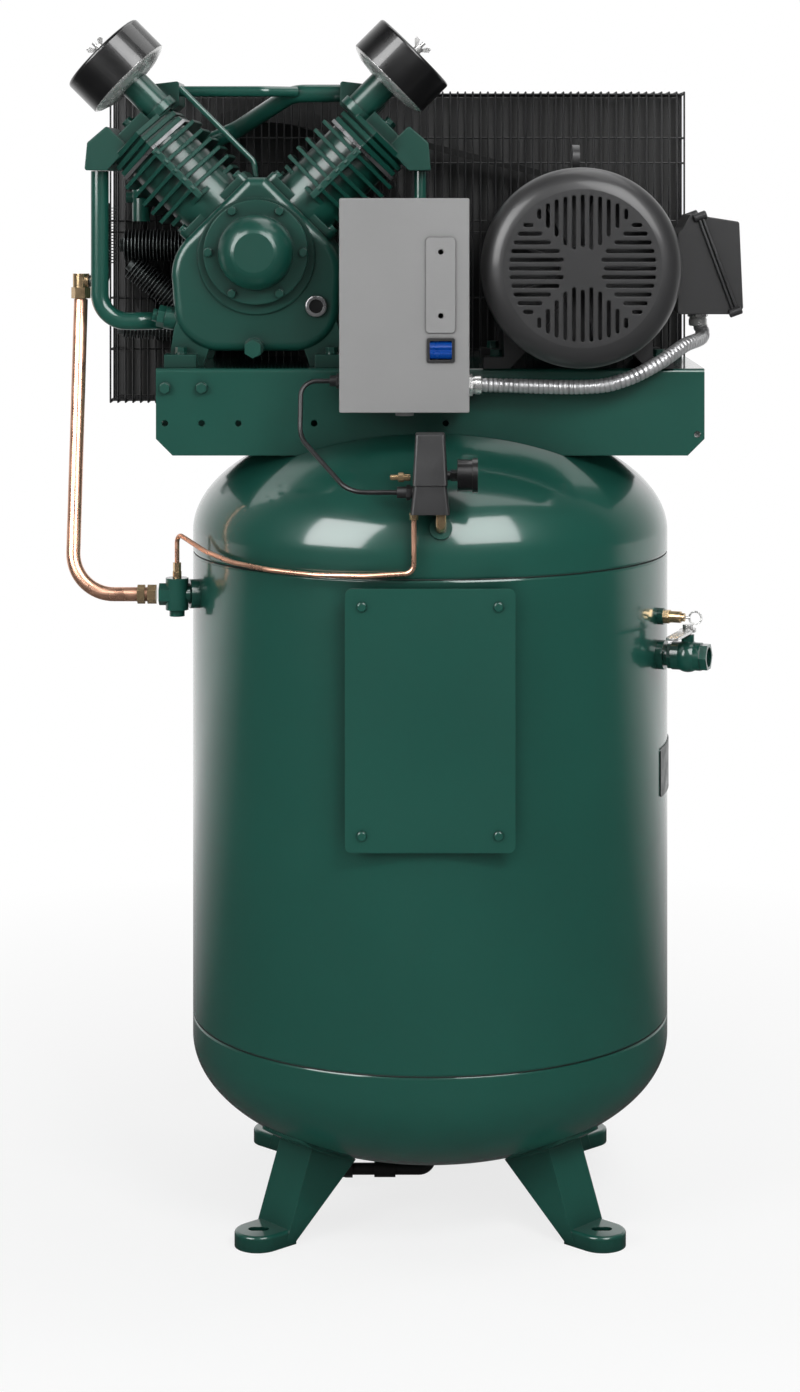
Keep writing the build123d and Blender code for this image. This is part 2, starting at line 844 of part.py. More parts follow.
box_front_y = -84
intake_front_y = -34
box_back_y = 72
port_x = -144
with BuildPart() as right_head:
    with BuildSketch(bank_level(head_base)):
        bank_outline(-57, 61, bank_front + 6, bank_back - 8, bank_shoulder + 3)
    extrude(amount=head_top - head_base)
    # Three full layers leave two grooves round the sides.
    for k in range(3):
        with BuildSketch(bank_level(head_base + 12.5 * k)):
            bank_outline(-62, 66, bank_front, bank_back - 2, bank_shoulder - 2)
        extrude(amount=8)
    # Intake chamber on the inner side, discharge chamber on the outer side, saddle between.
    with BuildSketch(bank_side(box_front_y)) as discharge_outline:
        Polygon((28, 262), (28.5, 310), (69, 313), (103, 285), (78.5, 260), align=None)
        fillet(discharge_outline.vertices(), 4)
    extrude(amount=box_front_y - box_back_y)
    with BuildSketch(bank_side(intake_front_y)) as intake_outline:
        Polygon((-74, 256), (-101, 283.5), (-65, 312), (-24, 309), (-24, 262), align=None)
        fillet(intake_outline.vertices(), 4)
    extrude(amount=intake_front_y - box_back_y)
    with BuildSketch(bank_side(box_front_y + 6)):
        with Locations((2, 262)):
            Rectangle(56, 26, align=(Align.CENTER, Align.MIN))
    extrude(amount=box_front_y - box_back_y + 12)
    with BuildSketch(bank_level(neck_base)):
        with Locations((neck_v, neck_y)):
            Circle(neck_radius + 4)
    extrude(amount=14)
    with BuildSketch(bank_level(neck_base)):
        with Locations((neck_v, neck_y)):
            Circle(neck_radius)
    extrude(amount=filter_base - neck_base)
    with BuildSketch(bank_level(neck_base + 8)):
        with Locations((neck_v, neck_y)):
            Circle(neck_bore)
    extrude(amount=filter_base, mode=Mode.SUBTRACT)
with BuildPart() as cylinder_heads:
    add(right_head.part)
    add(right_head.part.mirror(bank_mirror))
cylinder_heads.part.label = "cylinder_heads"
export_step(cylinder_heads.part, "parts/cylinder_heads.step")

# Screws of the pump: front cover, cylinder flanges and heads.
with BuildPart() as bank_screws:
    for v in screw_side:
        for y in screw_depth:
            start = bank_point(deck_height + 13, v, y)
            add(cap_screw(start, (lean, 0, lean), 4.2, 13, 7, 13))
    for y in (-62, -6, 50):
        add(cap_screw(bank_point(288, 2, y), (lean, 0, lean), 0, 15, 9))
with BuildPart() as pump_bolts:
    add(bank_screws.part)
    add(bank_screws.part.mirror(bank_mirror))
    for k in range(6):
        turn = math.radians(60 * k)
        spot = (
            crank_x + cover_bolt_radius * math.cos(turn),
            cover_face,
            crank_z + cover_bolt_radius * math.sin(turn),
        )
        add(cap_screw(spot, (0, -1, 0), 4, 12, 7, 13.5))

# ---------------------------------------------------------------- intake filters
filter_top = 401
filter_radius = 74.5
with BuildPart() as right_base:
    with BuildSketch(bank_level(filter_base)):
        with Locations((neck_v, neck_y)):
            Circle(filter_radius - 2)
            Circle(neck_bore, mode=Mode.SUBTRACT)
            with PolarLocations(48, 6):
                Circle(5, mode=Mode.SUBTRACT)
    extrude(amount=2)
with BuildPart() as right_drum:
    with BuildSketch(bank_level(filter_base)):
        with Locations((neck_v, neck_y)):
            Circle(filter_radius)
    extrude(amount=filter_top - filter_base)
    fillet(right_drum.faces().sort_by(Axis((0, 0, 0), (lean, 0, lean)))[-1].edges(), 5)
    with BuildSketch(bank_level(filter_base)):
        with Locations((neck_v, neck_y)):
            Circle(filter_radius - 2)
    extrude(amount=filter_top - filter_base - 2, mode=Mode.SUBTRACT)
    with BuildSketch(bank_level(filter_base)):
        with Locations((neck_v, neck_y)):
            Circle(3.1)
    extrude(amount=filter_top - filter_base + 5, mode=Mode.SUBTRACT)
with BuildPart() as right_element:
    with BuildSketch(bank_level(filter_base + 2)):
        with Locations((neck_v, neck_y)):
            Circle(60)
            Circle(42, mode=Mode.SUBTRACT)
    extrude(amount=filter_top - filter_base - 5)
with BuildPart() as right_nut:
    with BuildSketch(bank_level(filter_base - 6)):
        with Locations((neck_v, neck_y)):
            Circle(3)
    extrude(amount=86)
    with BuildSketch(bank_level(filter_top + 0.2)):
        with Locations((neck_v, neck_y)):
            Circle(11)
    extrude(amount=2)
    with BuildSketch(bank_level(filter_top + 2.2)):
        with Locations((neck_v, neck_y)):
            Circle(7)
    extrude(amount=9)
    for tilt in (-1, 1):
        with BuildSketch(bank_side(neck_y + 2)):
            Polygon(
                (neck_v + tilt * 5, filter_top + 4),
                (neck_v + tilt * 16, filter_top + 14),
                (neck_v + tilt * 15, filter_top + 20),
                (neck_v + tilt * 9, filter_top + 19),
                (neck_v + tilt * 4, filter_top + 10),
                align=None,
            )
        extrude(amount=4)
with BuildPart() as filter_bases:
    add(right_base.part)
    add(right_base.part.mirror(bank_mirror))
filter_bases.part.label = "filter_bases"
export_step(filter_bases.part, "parts/filter_bases.step")
with BuildPart() as filter_housings:
    add(right_drum.part)
    add(right_drum.part.mirror(bank_mirror))
filter_housings.part.label = "filter_housings"
export_step(filter_housings.part, "parts/filter_housings.step")
with BuildPart() as filter_elements:
    add(right_element.part)
    add(right_element.part.mirror(bank_mirror))
filter_elements.part.label = "filter_elements"
export_step(filter_elements.part, "parts/filter_elements.step")
with BuildPart() as wing_nuts:
    add(right_nut.part)
    add(right_nut.part.mirror(bank_mirror))
wing_nuts.part.label = "wing_nuts"
export_step(wing_nuts.part, "parts/wing_nuts.step")

# ---------------------------------------------------------------- crankcase fittings
with BuildPart() as sight_glass_bezel:
    with BuildSketch(case_side(case_front)):
        with Locations((sight_x, sight_z)):
            Circle(17)
    extrude(amount=8)
    fillet(sight_glass_bezel.faces().sort_by(Axis.Y)[0].edges(), 2)
    with BuildSketch(case_side(case_front)):
        with Locations((sight_x, sight_z)):
            Circle(13)
    extrude(amount=-8)
    with BuildSketch(case_side(case_front - 8)):
        with Locations((sight_x, sight_z)):
            Circle(11)
    extrude(amount=-20, mode=Mode.SUBTRACT)
sight_glass_bezel.part.label = "sight_glass_bezel"
export_step(sight_glass_bezel.part, "parts/sight_glass_bezel.step")

with BuildPart() as oil_plugs:
    drain_mouth = (crank_x + drain_x, drain_front, crank_z + drain_z)
    add(ring_along(drain_mouth, (0, -1, 0), 10, 0, 30))
    add(ring_along(drain_mouth, (0, 1, 0), 8, 0, 20))
    add(hex_along((drain_mouth[0], drain_front - 16, drain_mouth[2]), (0, -1, 0), 25, 16))
    filler_mouth = Vector(*filler_point) + Vector(*filler_axis).normalized() * filler_boss
    add(hex_along(filler_mouth, filler_axis, 30, 12))
    add(ring_along(filler_mouth, filler_axis, 10, 0, 20))
    add(ring_along(filler_mouth, tuple(-a for a in filler_axis), 12, 0, 15))
oil_plugs.part.label = "oil_plugs"
export_step(oil_plugs.part, "parts/oil_plugs.step")

# ---------------------------------------------------------------- tubes of the pump
tube_y = -40
rear_y = 146
box_floor = 1642.5
left_drop_x = -528
right_drop_x = -16
with BuildPart() as interstage_tubes:
    # Low-pressure discharge of the left bank, down and round to the intercooler.
    add(
        bent_pipe(
            [
                (left_drop_x, tube_y, box_floor - 0.6),
                (left_drop_x, tube_y, 1402),
                (-430, tube_y, 1402),
                (-430, rear_y - 26, 1402),
            ],
            44,
            14.3,
            12.5,
        )
    )
    # Discharge of the right bank, down and back behind the pump to the aftercooler.
    add(
        bent_pipe(
            [
                (right_drop_x, tube_y, box_floor - 0.6),
                (right_drop_x, tube_y, 1560),
                (right_drop_x, rear_y, 1560),
                (-130, rear_y, 1592),
                (-505, rear_y, 1600),
            ],
            26,
            9.5,
            8,
        )
    )
    # Right inner port, over the valley and down behind the left bank.
    add(
        bent_pipe(
            [
                (port_x - 0.5, 20, 1768),
                (-222, 20, 1768),
                (-320, 132, 1712),
                (-480, 140, 1640),
                (-480, 140, 1560),
            ],
            40,
            14.5,
            12.5,
        )
    )
    # Small balance tube between the two heads.
    add(bent_pipe([(-401.6, -20, 1770), (-268, -20, 1770), (-216, 8, 1770)], 24, 8.5, 7))
interstage_tubes.part.label = "interstage_tubes"
export_step(interstage_tubes.part, "parts/interstage_tubes.step")

with BuildPart() as breather_tube:
    add(
        bent_pipe(
            [
                bank_point(272, -96, -70, -1),
                bank_point(106, -96, -70, -1),
                (crank_x - 4, -70, crank_z + 118.4),
            ],
            14,
            4.5,
            3.5,
        )
    )
breather_tube.part.label = "breather_tube"
export_step(breather_tube.part, "parts/breather_tube.step")


def finned_run(start, end, tube, fin, pitch, thickness):
    """Straight tube with round fins along it, as one turned profile."""
    run = Vector(*end) - Vector(*start)
    count = int(run.length / pitch) - 2
    profile = [(0, 0), (tube, 0)]
    for k in range(count):
        low = (k + 1.5) * pitch
        profile += [(tube, low), (fin, low), (fin, low + thickness), (tube, low + thickness)]
    profile += [(tube, run.length), (0, run.length)]
    side = Plane(origin=start, x_dir=(0, 1, 0), z_dir=Vector(0, 1, 0).cross(run))
    with BuildPart() as finned:
        with BuildSketch(side):
            Polygon(*profile, align=None)
        revolve(axis=Axis(start, run))
    return finned.part


with BuildPart() as intercooler:
    add(finned_run((-516, rear_y, 1520), (-362, rear_y, 1520), 11, 26, 6, 1.2))
    add(finned_run((-500, rear_y, 1490), (-395, rear_y, 1405), 11, 22, 6, 1.2))
    add(finned_run((-518, rear_y, 1384), (-172, rear_y, 1360), 11, 17, 6, 1.6))
    add(finned_run((-538, rear_y - 34, 1590), (-538, rear_y - 34, 1482), 9.5, 20, 5, 1.2))
    add(
        bent_pipe(
            [
                (-538, rear_y - 34, 1483),
                (-538, rear_y - 34, 1465),
                (-538, 0, 1465),
                (-549.8, 0, 1465),
            ],
            [17, 11],
            9.5,
        )
    )
intercooler.part.label = "intercooler"
export_step(intercooler.part, "parts/intercooler.step")

# ---------------------------------------------------------------- receiver air lines
line_x = -563
line_radius = 11.1
elbow_z = 1465
valve_reach = 414
check_x = valve_reach * check_axis[0]
check_y = valve_reach * check_axis[1]
with BuildPart() as discharge_tube:
    add(
        bent_pipe(
            [(line_x, 0, elbow_z - 30), (line_x, check_y, check_height), (-436, check_y, check_height)],
            66,
            line_radius,
            9.5,
        )
    )
discharge_tube.part.label = "discharge_tube"
export_step(discharge_tube.part, "parts/discharge_tube.step")

with BuildPart() as check_valve:
    add(ring_along((check_x, check_y, check_height - 24), (0, 0, 1), 18, 0, 50))
    add(ring_along((394 * check_axis[0], 394 * check_axis[1], check_height), check_axis, 14, 0, 16))
    add(hex_along((check_x, check_y, check_height), (-1, 0, 0), 30, 28))
    add(ring_along((check_x, check_y, check_height - 34), (0, 0, 1), 12, 0, 12))
check_valve.part.label = "check_valve"
export_step(check_valve.part, "parts/check_valve.step")

with BuildPart() as tube_fittings:
    # Elbow and nut at the top of the copper line.
    add(ring_along((-550, 0, elbow_z), (-1, 0, 0), 12, 0, 13))
    add(ring_along((line_x, 0, elbow_z + 12), (0, 0, -1), 13, 0, 24))
    add(hex_along((line_x, 0, elbow_z - 10), (0, 0, -1), 27, 18))
    # Two nuts where the line meets the check valve.
    for start, length in ((-430.2, 14), (-448, 12)):
        add(hex_along((start, check_y, check_height), (-1, 0, 0), 26, length))
    # Unloader connection on the check valve's top.
    add(ring_along((check_x, check_y, check_height + 26.1), (0, 0, 1), 7, 0, 10))
    add(hex_along((check_x, check_y, check_height + 36), (0, 0, 1), 11, 14))
    # Unloader valve on the switch's left side.
    add(ring_along((-29.2, -392, 1187), (-1, 0, 0), 5, 0, 10))
    add(hex_along((-39, -392, 1187), (-1, 0, 0), 12, 8))
    add(ring_along((-47, -392, 1187), (-1, 0, 0), 4, 0, 12))
    add(hex_along((-24, -394, 1134.8), (0, 0, -1), 11, 10))
    # Nipple from the head's bung up into the switch.
    add(bent_pipe([(16, -377.4, 1110.8), (16, -392, 1115.9), (16, -392, 1134.9)], 9, 7.8))
    add(discharge_tube.part, mode=Mode.SUBTRACT)
    with BuildSketch(Plane(origin=(-24, -394, 1140), z_dir=(0, 0, -1))):
        Circle(3.8)
    extrude(amount=40, mode=Mode.SUBTRACT)
    with BuildSketch(Plane.XY.offset(check_height + 44)):
        with Locations((check_x, check_y)):
            Circle(3.8)
    extrude(amount=10, mode=Mode.SUBTRACT)
tube_fittings.part.label = "tube_fittings"
export_step(tube_fittings.part, "parts/tube_fittings.step")

# The unloader tube runs round the shell just above the seam, then hooks down into the check valve.
hug_radius = tank_radius + 13
hug_height = 1040
hug_points = [
    (
        hug_radius * math.cos(math.radians(-turn)),
        hug_radius * math.sin(math.radians(-turn)),
        hug_height + rise,
    )
    for turn, rise in ((104, 0), (116, -2), (128, 0), (140, 4), (152, 12))
]
with BuildPart() as unloader_tube:
    add(
        bent_pipe(
            [
                (-24, -394, 1130),
                (-24, -394, hug_height + 6),
                *hug_points,
                (check_x, check_y, check_height + 96),
                (check_x, check_y, check_height + 46),
            ],
            [14, 100, 100, 100, 100, 100, 12],
            3.75,
        )
    )
unloader_tube.part.label = "unloader_tube"
export_step(unloader_tube.part, "parts/unloader_tube.step")

# ---------------------------------------------------------------- pressure switch and gauge
switch_half = 29
switch_front = -425
switch_back = -359
switch_floor = 1135
switch_split = 1177
switch_top = 1252
gauge_y = -392
gauge_z = 1190
gauge_start = 40
gauge_end = 70
with BuildPart() as switch_base:
    with BuildSketch(Plane.XY.offset(switch_floor)):
        with Locations((0, (switch_front + switch_back) / 2)):
            RectangleRounded(2 * switch_half, switch_back - switch_front, 5)
    with BuildSketch(Plane.XY.offset(switch_split)):
        with Locations((0, (switch_front + switch_back) / 2)):
            RectangleRounded(2 * switch_half - 10, switch_back - switch_front - 8, 5)
    loft()
    with BuildSketch(Plane(origin=(0, gauge_y, 1165), z_dir=(-1, 0, 0))):
        Circle(9)
    extrude(amount=29)
with BuildPart() as switch_cover:
    with BuildSketch(Plane.XY.offset(switch_split + 0.6)):
        with Locations((0, (switch_front + switch_back) / 2)):
            RectangleRounded(2 * switch_half - 6, switch_back - switch_front - 4, 5)
    with BuildSketch(Plane.XY.offset(switch_top)):
        with Locations((0, (switch_front + switch_back) / 2 + 3)):
            RectangleRounded(2 * switch_half - 14, switch_back - switch_front - 22, 5)
    loft()
    fillet(switch_cover.faces().sort_by(Axis.Z)[-1].edges(), 3)
    add(ring_along((10, gauge_y, 1187), (-1, 0, 0), 12, 0, 60), mode=Mode.SUBTRACT)
    add(ring_along((-10, gauge_y, gauge_z), (1, 0, 0), 9, 0, 60), mode=Mode.SUBTRACT)
with BuildPart() as pressure_switch:
    add(switch_base.part)
    add(switch_cover.part)
pressure_switch.part.label = "pressure_switch"
export_step(pressure_switch.part, "parts/pressure_switch.step")

needle_start = 64
with BuildPart() as gauge_case:
    add(ring_along((20, gauge_y, gauge_z), (1, 0, 0), 7, 0, 12))
    add(hex_along((30, gauge_y, gauge_z), (1, 0, 0), 15, 10))
    add(ring_along((gauge_start, gauge_y, gauge_z), (1, 0, 0), 23.5, 0, gauge_end - gauge_start - 4))
    add(ring_along((gauge_end - 8, gauge_y, gauge_z), (1, 0, 0), 26, 0, 8))
    add(ring_along((61, gauge_y, gauge_z), (1, 0, 0), 22, 0, 20), mode=Mode.SUBTRACT)
    add(ring_along((60, gauge_y, gauge_z), (1, 0, 0), 1.2, 0, 5.5))
gauge_case.part.label = "gauge_case"
export_step(gauge_case.part, "parts/gauge_case.step")

with BuildPart() as gauge_needle:
    with BuildSketch(Plane(origin=(needle_start, gauge_y, gauge_z), x_dir=(0, 1, 0), z_dir=(1, 0, 0))):
        Circle(3)
        with Locations(Location((0, 0), -135)):
            Trapezoid(3, 17, 86, align=(Align.CENTER, Align.MIN))
        Circle(1.2 + clearance, mode=Mode.SUBTRACT)
    extrude(amount=1)
gauge_needle.part.label = "gauge_needle"
export_step(gauge_needle.part, "parts/gauge_needle.step")

with BuildPart() as lenses:
    add(ring_along((gauge_end - 3, gauge_y, gauge_z), (1, 0, 0), 22, 0, 1.8))
    with BuildSketch(case_side(case_front - 4)):
        with Locations((sight_x, sight_z)):
            Circle(11)
    extrude(amount=-3)
lenses.part.label = "lenses"
export_step(lenses.part, "parts/lenses.step")

# ---------------------------------------------------------------- starter box
cover_sheet = 4
box_middle_x = (box_left + box_right) / 2
box_middle_z = (box_bottom + box_top) / 2
box_width = box_right - box_left
box_height = box_top - box_bottom
strip_left = -7
strip_right = 38
gland_z = 1320
hub_x = box_right
hub_y = -205
hub_z = 1311
with BuildPart() as control_box:
    with BuildSketch(Plane.XZ.offset(-box_back)):
        with Locations((box_middle_x, box_middle_z)):
            RectangleRounded(box_width - 2, box_height - 2, 4)
    extrude(amount=box_back - box_front - cover_sheet)
    with BuildSketch(Plane.XZ.offset(-box_back + 2)):
        with Locations((box_middle_x, box_middle_z)):
            RectangleRounded(box_width - 6, box_height - 6, 3)
    extrude(amount=200, mode=Mode.SUBTRACT)
    add(ring_along((-39, -242, box_bottom - 9), (0, 0, 1), 14, 0, 10.5))
    add(ring_along((hub_x + 3, hub_y, hub_z), (-1, 0, 0), 11.2, 0, 20), mode=Mode.SUBTRACT)
    add(ring_along((box_left - 3, -250, gland_z), (1, 0, 0), 8, 0, 20), mode=Mode.SUBTRACT)
    add(ring_along((-39, -242, box_bottom - 19), (0, 0, 1), 10, 0, 40), mode=Mode.SUBTRACT)
    with BuildSketch(Plane.XZ.offset(-box_back)):
        with Locations(*[(x, box_bolt_z) for x in box_bolt_x]):
            Circle(4)
    extrude(amount=10, mode=Mode.SUBTRACT)
control_box.part.label = "control_box"
export_step(control_box.part, "parts/control_box.step")

with BuildPart() as control_box_cover:
    with BuildSketch(Plane.XZ.offset(-box_front)):
        with Locations((box_middle_x, box_middle_z)):
            RectangleRounded(box_width, box_height, 3)
    extrude(amount=-cover_sheet)
    fillet(control_box_cover.faces().sort_by(Axis.Y)[0].edges(), 1.5)
    with BuildSketch(Plane.XZ.offset(-box_front)):
        with Locations(((strip_left + strip_right) / 2, 1468)):
            RectangleRounded(strip_right - strip_left, 144, 6)
    extrude(amount=3)
    fillet(control_box_cover.faces().sort_by(Axis.Y)[0].edges(), 1.2)
    with BuildSketch(Plane.XZ.offset(-box_front + 4)):
        with Locations((rocker_x, 1518), (rocker_x, 1422)):
            Circle(4)
        with Locations((rocker_x, rocker_z)):
            Rectangle(36, 31)
    extrude(amount=-20, mode=Mode.SUBTRACT)
control_box_cover.part.label = "control_box_cover"
export_step(control_box_cover.part, "parts/control_box_cover.step")

rocker_pivot_y = box_front + 7
rocker_radius = 14
with BuildPart() as rocker_frame:
    with BuildSketch(Plane.XZ.offset(-box_front)):
        with Locations((rocker_x, rocker_z)):
            RectangleRounded(42, 37, 3)
    extrude(amount=2.5)
    with BuildSketch(Plane.XZ.offset(-box_front)):
        with Locations((rocker_x, rocker_z)):
            Rectangle(35.8, 30.8)
    extrude(amount=-14)
    with BuildSketch(Plane.XZ.offset(-box_front + 10)):
        with Locations((rocker_x, rocker_z)):
            Rectangle(33.4, 2 * rocker_radius + 0.4)
    extrude(amount=-40, mode=Mode.SUBTRACT)
rocker_frame.part.label = "rocker_frame"
export_step(rocker_frame.part, "parts/rocker_frame.step")

with BuildPart() as rocker_switch:
    with BuildSketch(Plane.YZ.offset(rocker_x)):
        with Locations((rocker_pivot_y, rocker_z)):
            Circle(rocker_radius)
        with BuildLine():
            Polyline(
                (rocker_pivot_y - 20, rocker_z + 13),
                (rocker_pivot_y - 9.5, rocker_z + 0),
                (rocker_pivot_y - 20, rocker_z - 13),
                close=True,
            )
        make_face(mode=Mode.SUBTRACT)
    extrude(amount=16.5, both=True)
rocker_switch.part.label = "rocker_switch"
export_step(rocker_switch.part, "parts/rocker_switch.step")

with BuildPart() as cable_glands:
    add(ring_along((box_left + 14, -250, gland_z), (-1, 0, 0), 8, 0, 15))
    add(hex_along((box_left, -250, gland_z), (-1, 0, 0), 20, 6))
    add(ring_along((box_left - 6, -250, gland_z), (-1, 0, 0), 8.5, 0, 10))
    add(hex_along((-29.1, gauge_y, 1165), (-1, 0, 0), 20, 6))
    add(ring_along((-35, gauge_y, 1165), (-1, 0, 0), 8.5, 0, 14))
    add(ring_along((box_left + 30, -250, gland_z), (-1, 0, 0), 5, 0, 60), mode=Mode.SUBTRACT)
    add(ring_along((-40, gauge_y, 1165), (-1, 0, 0), 5, 0, 30), mode=Mode.SUBTRACT)
cable_glands.part.label = "cable_glands"
export_step(cable_glands.part, "parts/cable_glands.step")

cable_turn_x = -197
with BuildPart() as control_cable:
    add(
        bent_pipe(
            [
                (box_left - 6, -250, gland_z),
                (cable_turn_x, -250, gland_z),
                (cable_turn_x, -290, 1238),
                (-120, gauge_y, 1165),
                (-42, gauge_y, 1165),
            ],
            [24, 50, 45],
            3.65,
        )
    )
control_cable.part.label = "control_cable"
export_step(control_cable.part, "parts/control_cable.step")

# ---------------------------------------------------------------- motor
frame_radius = 136
motor_fin = 8
frame_front = -225
frame_rear = 40
stator_radius = 122
rotor_radius = 77
core_back = 0
core_length = 170
shaft_back = 252
shaft_front = -288


def motor_side(depth):
    """Upright plane across the motor at a depth, facing the front."""
    return Plane(origin=(motor_x, depth, motor_z), x_dir=(1, 0, 0), z_dir=(0, -1, 0))


motor_axis = Axis((motor_x, 0, motor_z), (0, 1, 0))
with BuildPart() as motor_frame:
    with BuildSketch(motor_side(frame_rear)):
        Circle(frame_radius)
        with PolarLocations(frame_radius + motor_fin / 2 - 1, 44):
            Rectangle(motor_fin, 4)
    extrude(amount=frame_rear - frame_front)
    with BuildSketch(motor_side(frame_front)):
        Circle(frame_radius + 3)
    extrude(amount=14)
    with BuildSketch(Plane(origin=(motor_x, 0, motor_z), x_dir=(1, 0, 0), z_dir=(0, 0, 1))):
        with BuildLine():
            Polyline((0, 40), (frame_radius + 3, 40), (frame_radius + 3, 56))
            ThreePointArc((frame_radius + 3, 56), (116, 70), (70, 76))
            Polyline((70, 76), (52, 84), (0, 84), (0, 40))
        make_face()
    revolve(axis=motor_axis)
    for x in motor_foot_x:
        for y in motor_foot_y:
            with Locations((x, y, platform_top)):
                Box(42, 46, motor_foot_thickness, align=(Align.CENTER, Align.CENTER, Align.MIN))
        inward = 1 if x < motor_x else -1
        with BuildSketch(Plane.XZ.offset(150 + 23)):
            Polygon(
                (x + inward * 12, platform_top),
                (x + inward * 21, platform_top),
                (x + inward * 66, motor_z - 110),
                (x + inward * 22, motor_z - 60),
                (x + inward * 10, motor_z - 90),
                align=None,
            )
        extrude(amount=-300)
    # Neck under the terminal box.
    with BuildSketch(Plane(origin=(385, -90, 1496), z_dir=(-1, 0, 0))):
        Rectangle(86, 96)
    extrude(amount=60)
    # Lifting eye.
    with BuildSketch(Plane.YZ.offset(motor_x)):
        with Locations((-90, motor_z + 168)):
            Circle(22)
            Circle(12, mode=Mode.SUBTRACT)
    extrude(amount=6, both=True)
    with BuildSketch(Plane.XY.offset(motor_z + 120)):
        with Locations((motor_x, -90)):
            Circle(11)
    extrude(amount=32)
    with BuildSketch(motor_side(frame_rear)):
        Circle(stator_radius)
    extrude(amount=frame_rear - frame_front - 10, mode=Mode.SUBTRACT)
    with BuildSketch(motor_side(58)):
        Circle(45)
    extrude(amount=20, mode=Mode.SUBTRACT)
    with BuildSketch(motor_side(-200)):
        Circle(45)
    extrude(amount=25, mode=Mode.SUBTRACT)
    with BuildSketch(motor_side(100)):
        Circle(motor_shaft_radius + 1.4)
    extrude(amount=400, mode=Mode.SUBTRACT)
    with BuildSketch(Plane.XY.offset(platform_top)):
        with Locations(*[(x, y) for x in motor_foot_x for y in motor_foot_y]):
            Circle(bolt_hole)
    extrude(amount=motor_foot_thickness, mode=Mode.SUBTRACT)
    # Stator core, pressed into the frame.
    with BuildSketch(motor_side(core_back)):
        Circle(stator_radius)
        Circle(rotor_radius + 1, mode=Mode.SUBTRACT)
    extrude(amount=core_length)
motor_frame.part.label = "motor_frame"
export_step(motor_frame.part, "parts/motor_frame.step")

with BuildPart() as rotor_shaft:
    with BuildSketch(motor_side(core_back)):
        Circle(rotor_radius)
    extrude(amount=core_length)
    with BuildSketch(motor_side(shaft_back)):
        Circle(motor_shaft_radius)
    extrude(amount=shaft_back - shaft_front)
rotor_shaft.part.label = "rotor_shaft"
export_step(rotor_shaft.part, "parts/rotor_shaft.step")

fan_back = -248
fan_radius = 112
blade_count = 9
with BuildPart() as cooling_fan:
    with BuildSketch(motor_side(fan_back)):
        Circle(34)
    extrude(amount=38)
    with BuildSketch(motor_side(fan_back)):
        Circle(fan_radius)
    extrude(amount=3)
    with BuildSketch(motor_side(fan_back)):
        with PolarLocations(72, blade_count):
            Rectangle(80, 4)
    extrude(amount=32)
    with BuildSketch(motor_side(-200)):
        Circle(motor_shaft_radius)
    extrude(amount=100, mode=Mode.SUBTRACT)
cooling_fan.part.label = "cooling_fan"
export_step(cooling_fan.part, "parts/cooling_fan.step")

fan_sheet = 2.5
slot_field = 111
slot_pitch = 13.1
slot_wide = 5.9
hub_disc = 27
cross_bar = 9
with BuildPart() as fan_cover:
    with BuildSketch(Plane(origin=(motor_x, 0, motor_z), x_dir=(1, 0, 0), z_dir=(0, 0, 1))):
        with BuildLine():
            Line((0, fan_cover_front), (120, fan_cover_front))
            ThreePointArc(
                (120, fan_cover_front),
                (142, fan_cover_front + 11),
                (fan_cover_radius, fan_cover_rim - 22),
            )
            Line((fan_cover_radius, fan_cover_rim - 22), (fan_cover_radius, fan_cover_rim + 16))
            Line(
                (fan_cover_radius, fan_cover_rim + 16),
                (fan_cover_radius - fan_sheet, fan_cover_rim + 16),
            )
            Line(
                (fan_cover_radius - fan_sheet, fan_cover_rim + 16),
                (fan_cover_radius - fan_sheet, fan_cover_rim - 22),
            )
            ThreePointArc(
                (fan_cover_radius - fan_sheet, fan_cover_rim - 22),
                (140, fan_cover_front + 13),
                (119, fan_cover_front + fan_sheet),
            )
            Line((119, fan_cover_front + fan_sheet), (0, fan_cover_front + fan_sheet))
            Line((0, fan_cover_front + fan_sheet), (0, fan_cover_front))
        make_face()
    revolve(axis=motor_axis)
    with BuildSketch(motor_side(fan_cover_front - 1)):
        for k in range(-7, 8):
            across = slot_pitch * k
            begin = max(abs(across) + cross_bar, math.sqrt(max(hub_disc**2 - across**2, 0)) + 5)
            end = math.sqrt(slot_field**2 - across**2)
            if end - begin > 2 * slot_wide:
                middle = (begin + end) / 2
                with Locations((across, middle), (across, -middle)):
                    SlotOverall(end - begin, slot_wide, rotation=90)
                with Locations((middle, across), (-middle, across)):
                    SlotOverall(end - begin, slot_wide)
    extrude(amount=-8, mode=Mode.SUBTRACT)
fan_cover.part.label = "fan_cover"
export_step(fan_cover.part, "parts/fan_cover.step")

# Terminal box, split along its slanting gasket line.
terminal_left = 385.4
terminal_right = 487
terminal_low = 1418
terminal_high = 1574
terminal_front = -160
terminal_back = -20
with BuildPart() as motor_terminal_box:
    with BuildSketch(Plane.XZ.offset(-terminal_front)):
        Polygon(
            (terminal_left, terminal_low),
            (terminal_right - 8, terminal_low),
            (terminal_right, terminal_low + 10),
            (terminal_right - 6, terminal_high - 12),
            (terminal_left + 20, terminal_high),
            (terminal_left + 8, terminal_high - 22),
            (terminal_left, terminal_high - 30),
            align=None,
        )
    extrude(amount=terminal_front - terminal_back)
    fillet(motor_terminal_box.edges().filter_by(Axis.Y), 4)
    offset(amount=-3, mode=Mode.SUBTRACT)
    with BuildSketch(Plane.XY.offset(terminal_low)):
        with Locations((423, -90)):
            Circle(11.2)
    extrude(amount=10, both=True, mode=Mode.SUBTRACT)
motor_terminal_box.part.label = "motor_terminal_box"
export_step(motor_terminal_box.part, "parts/motor_terminal_box.step")

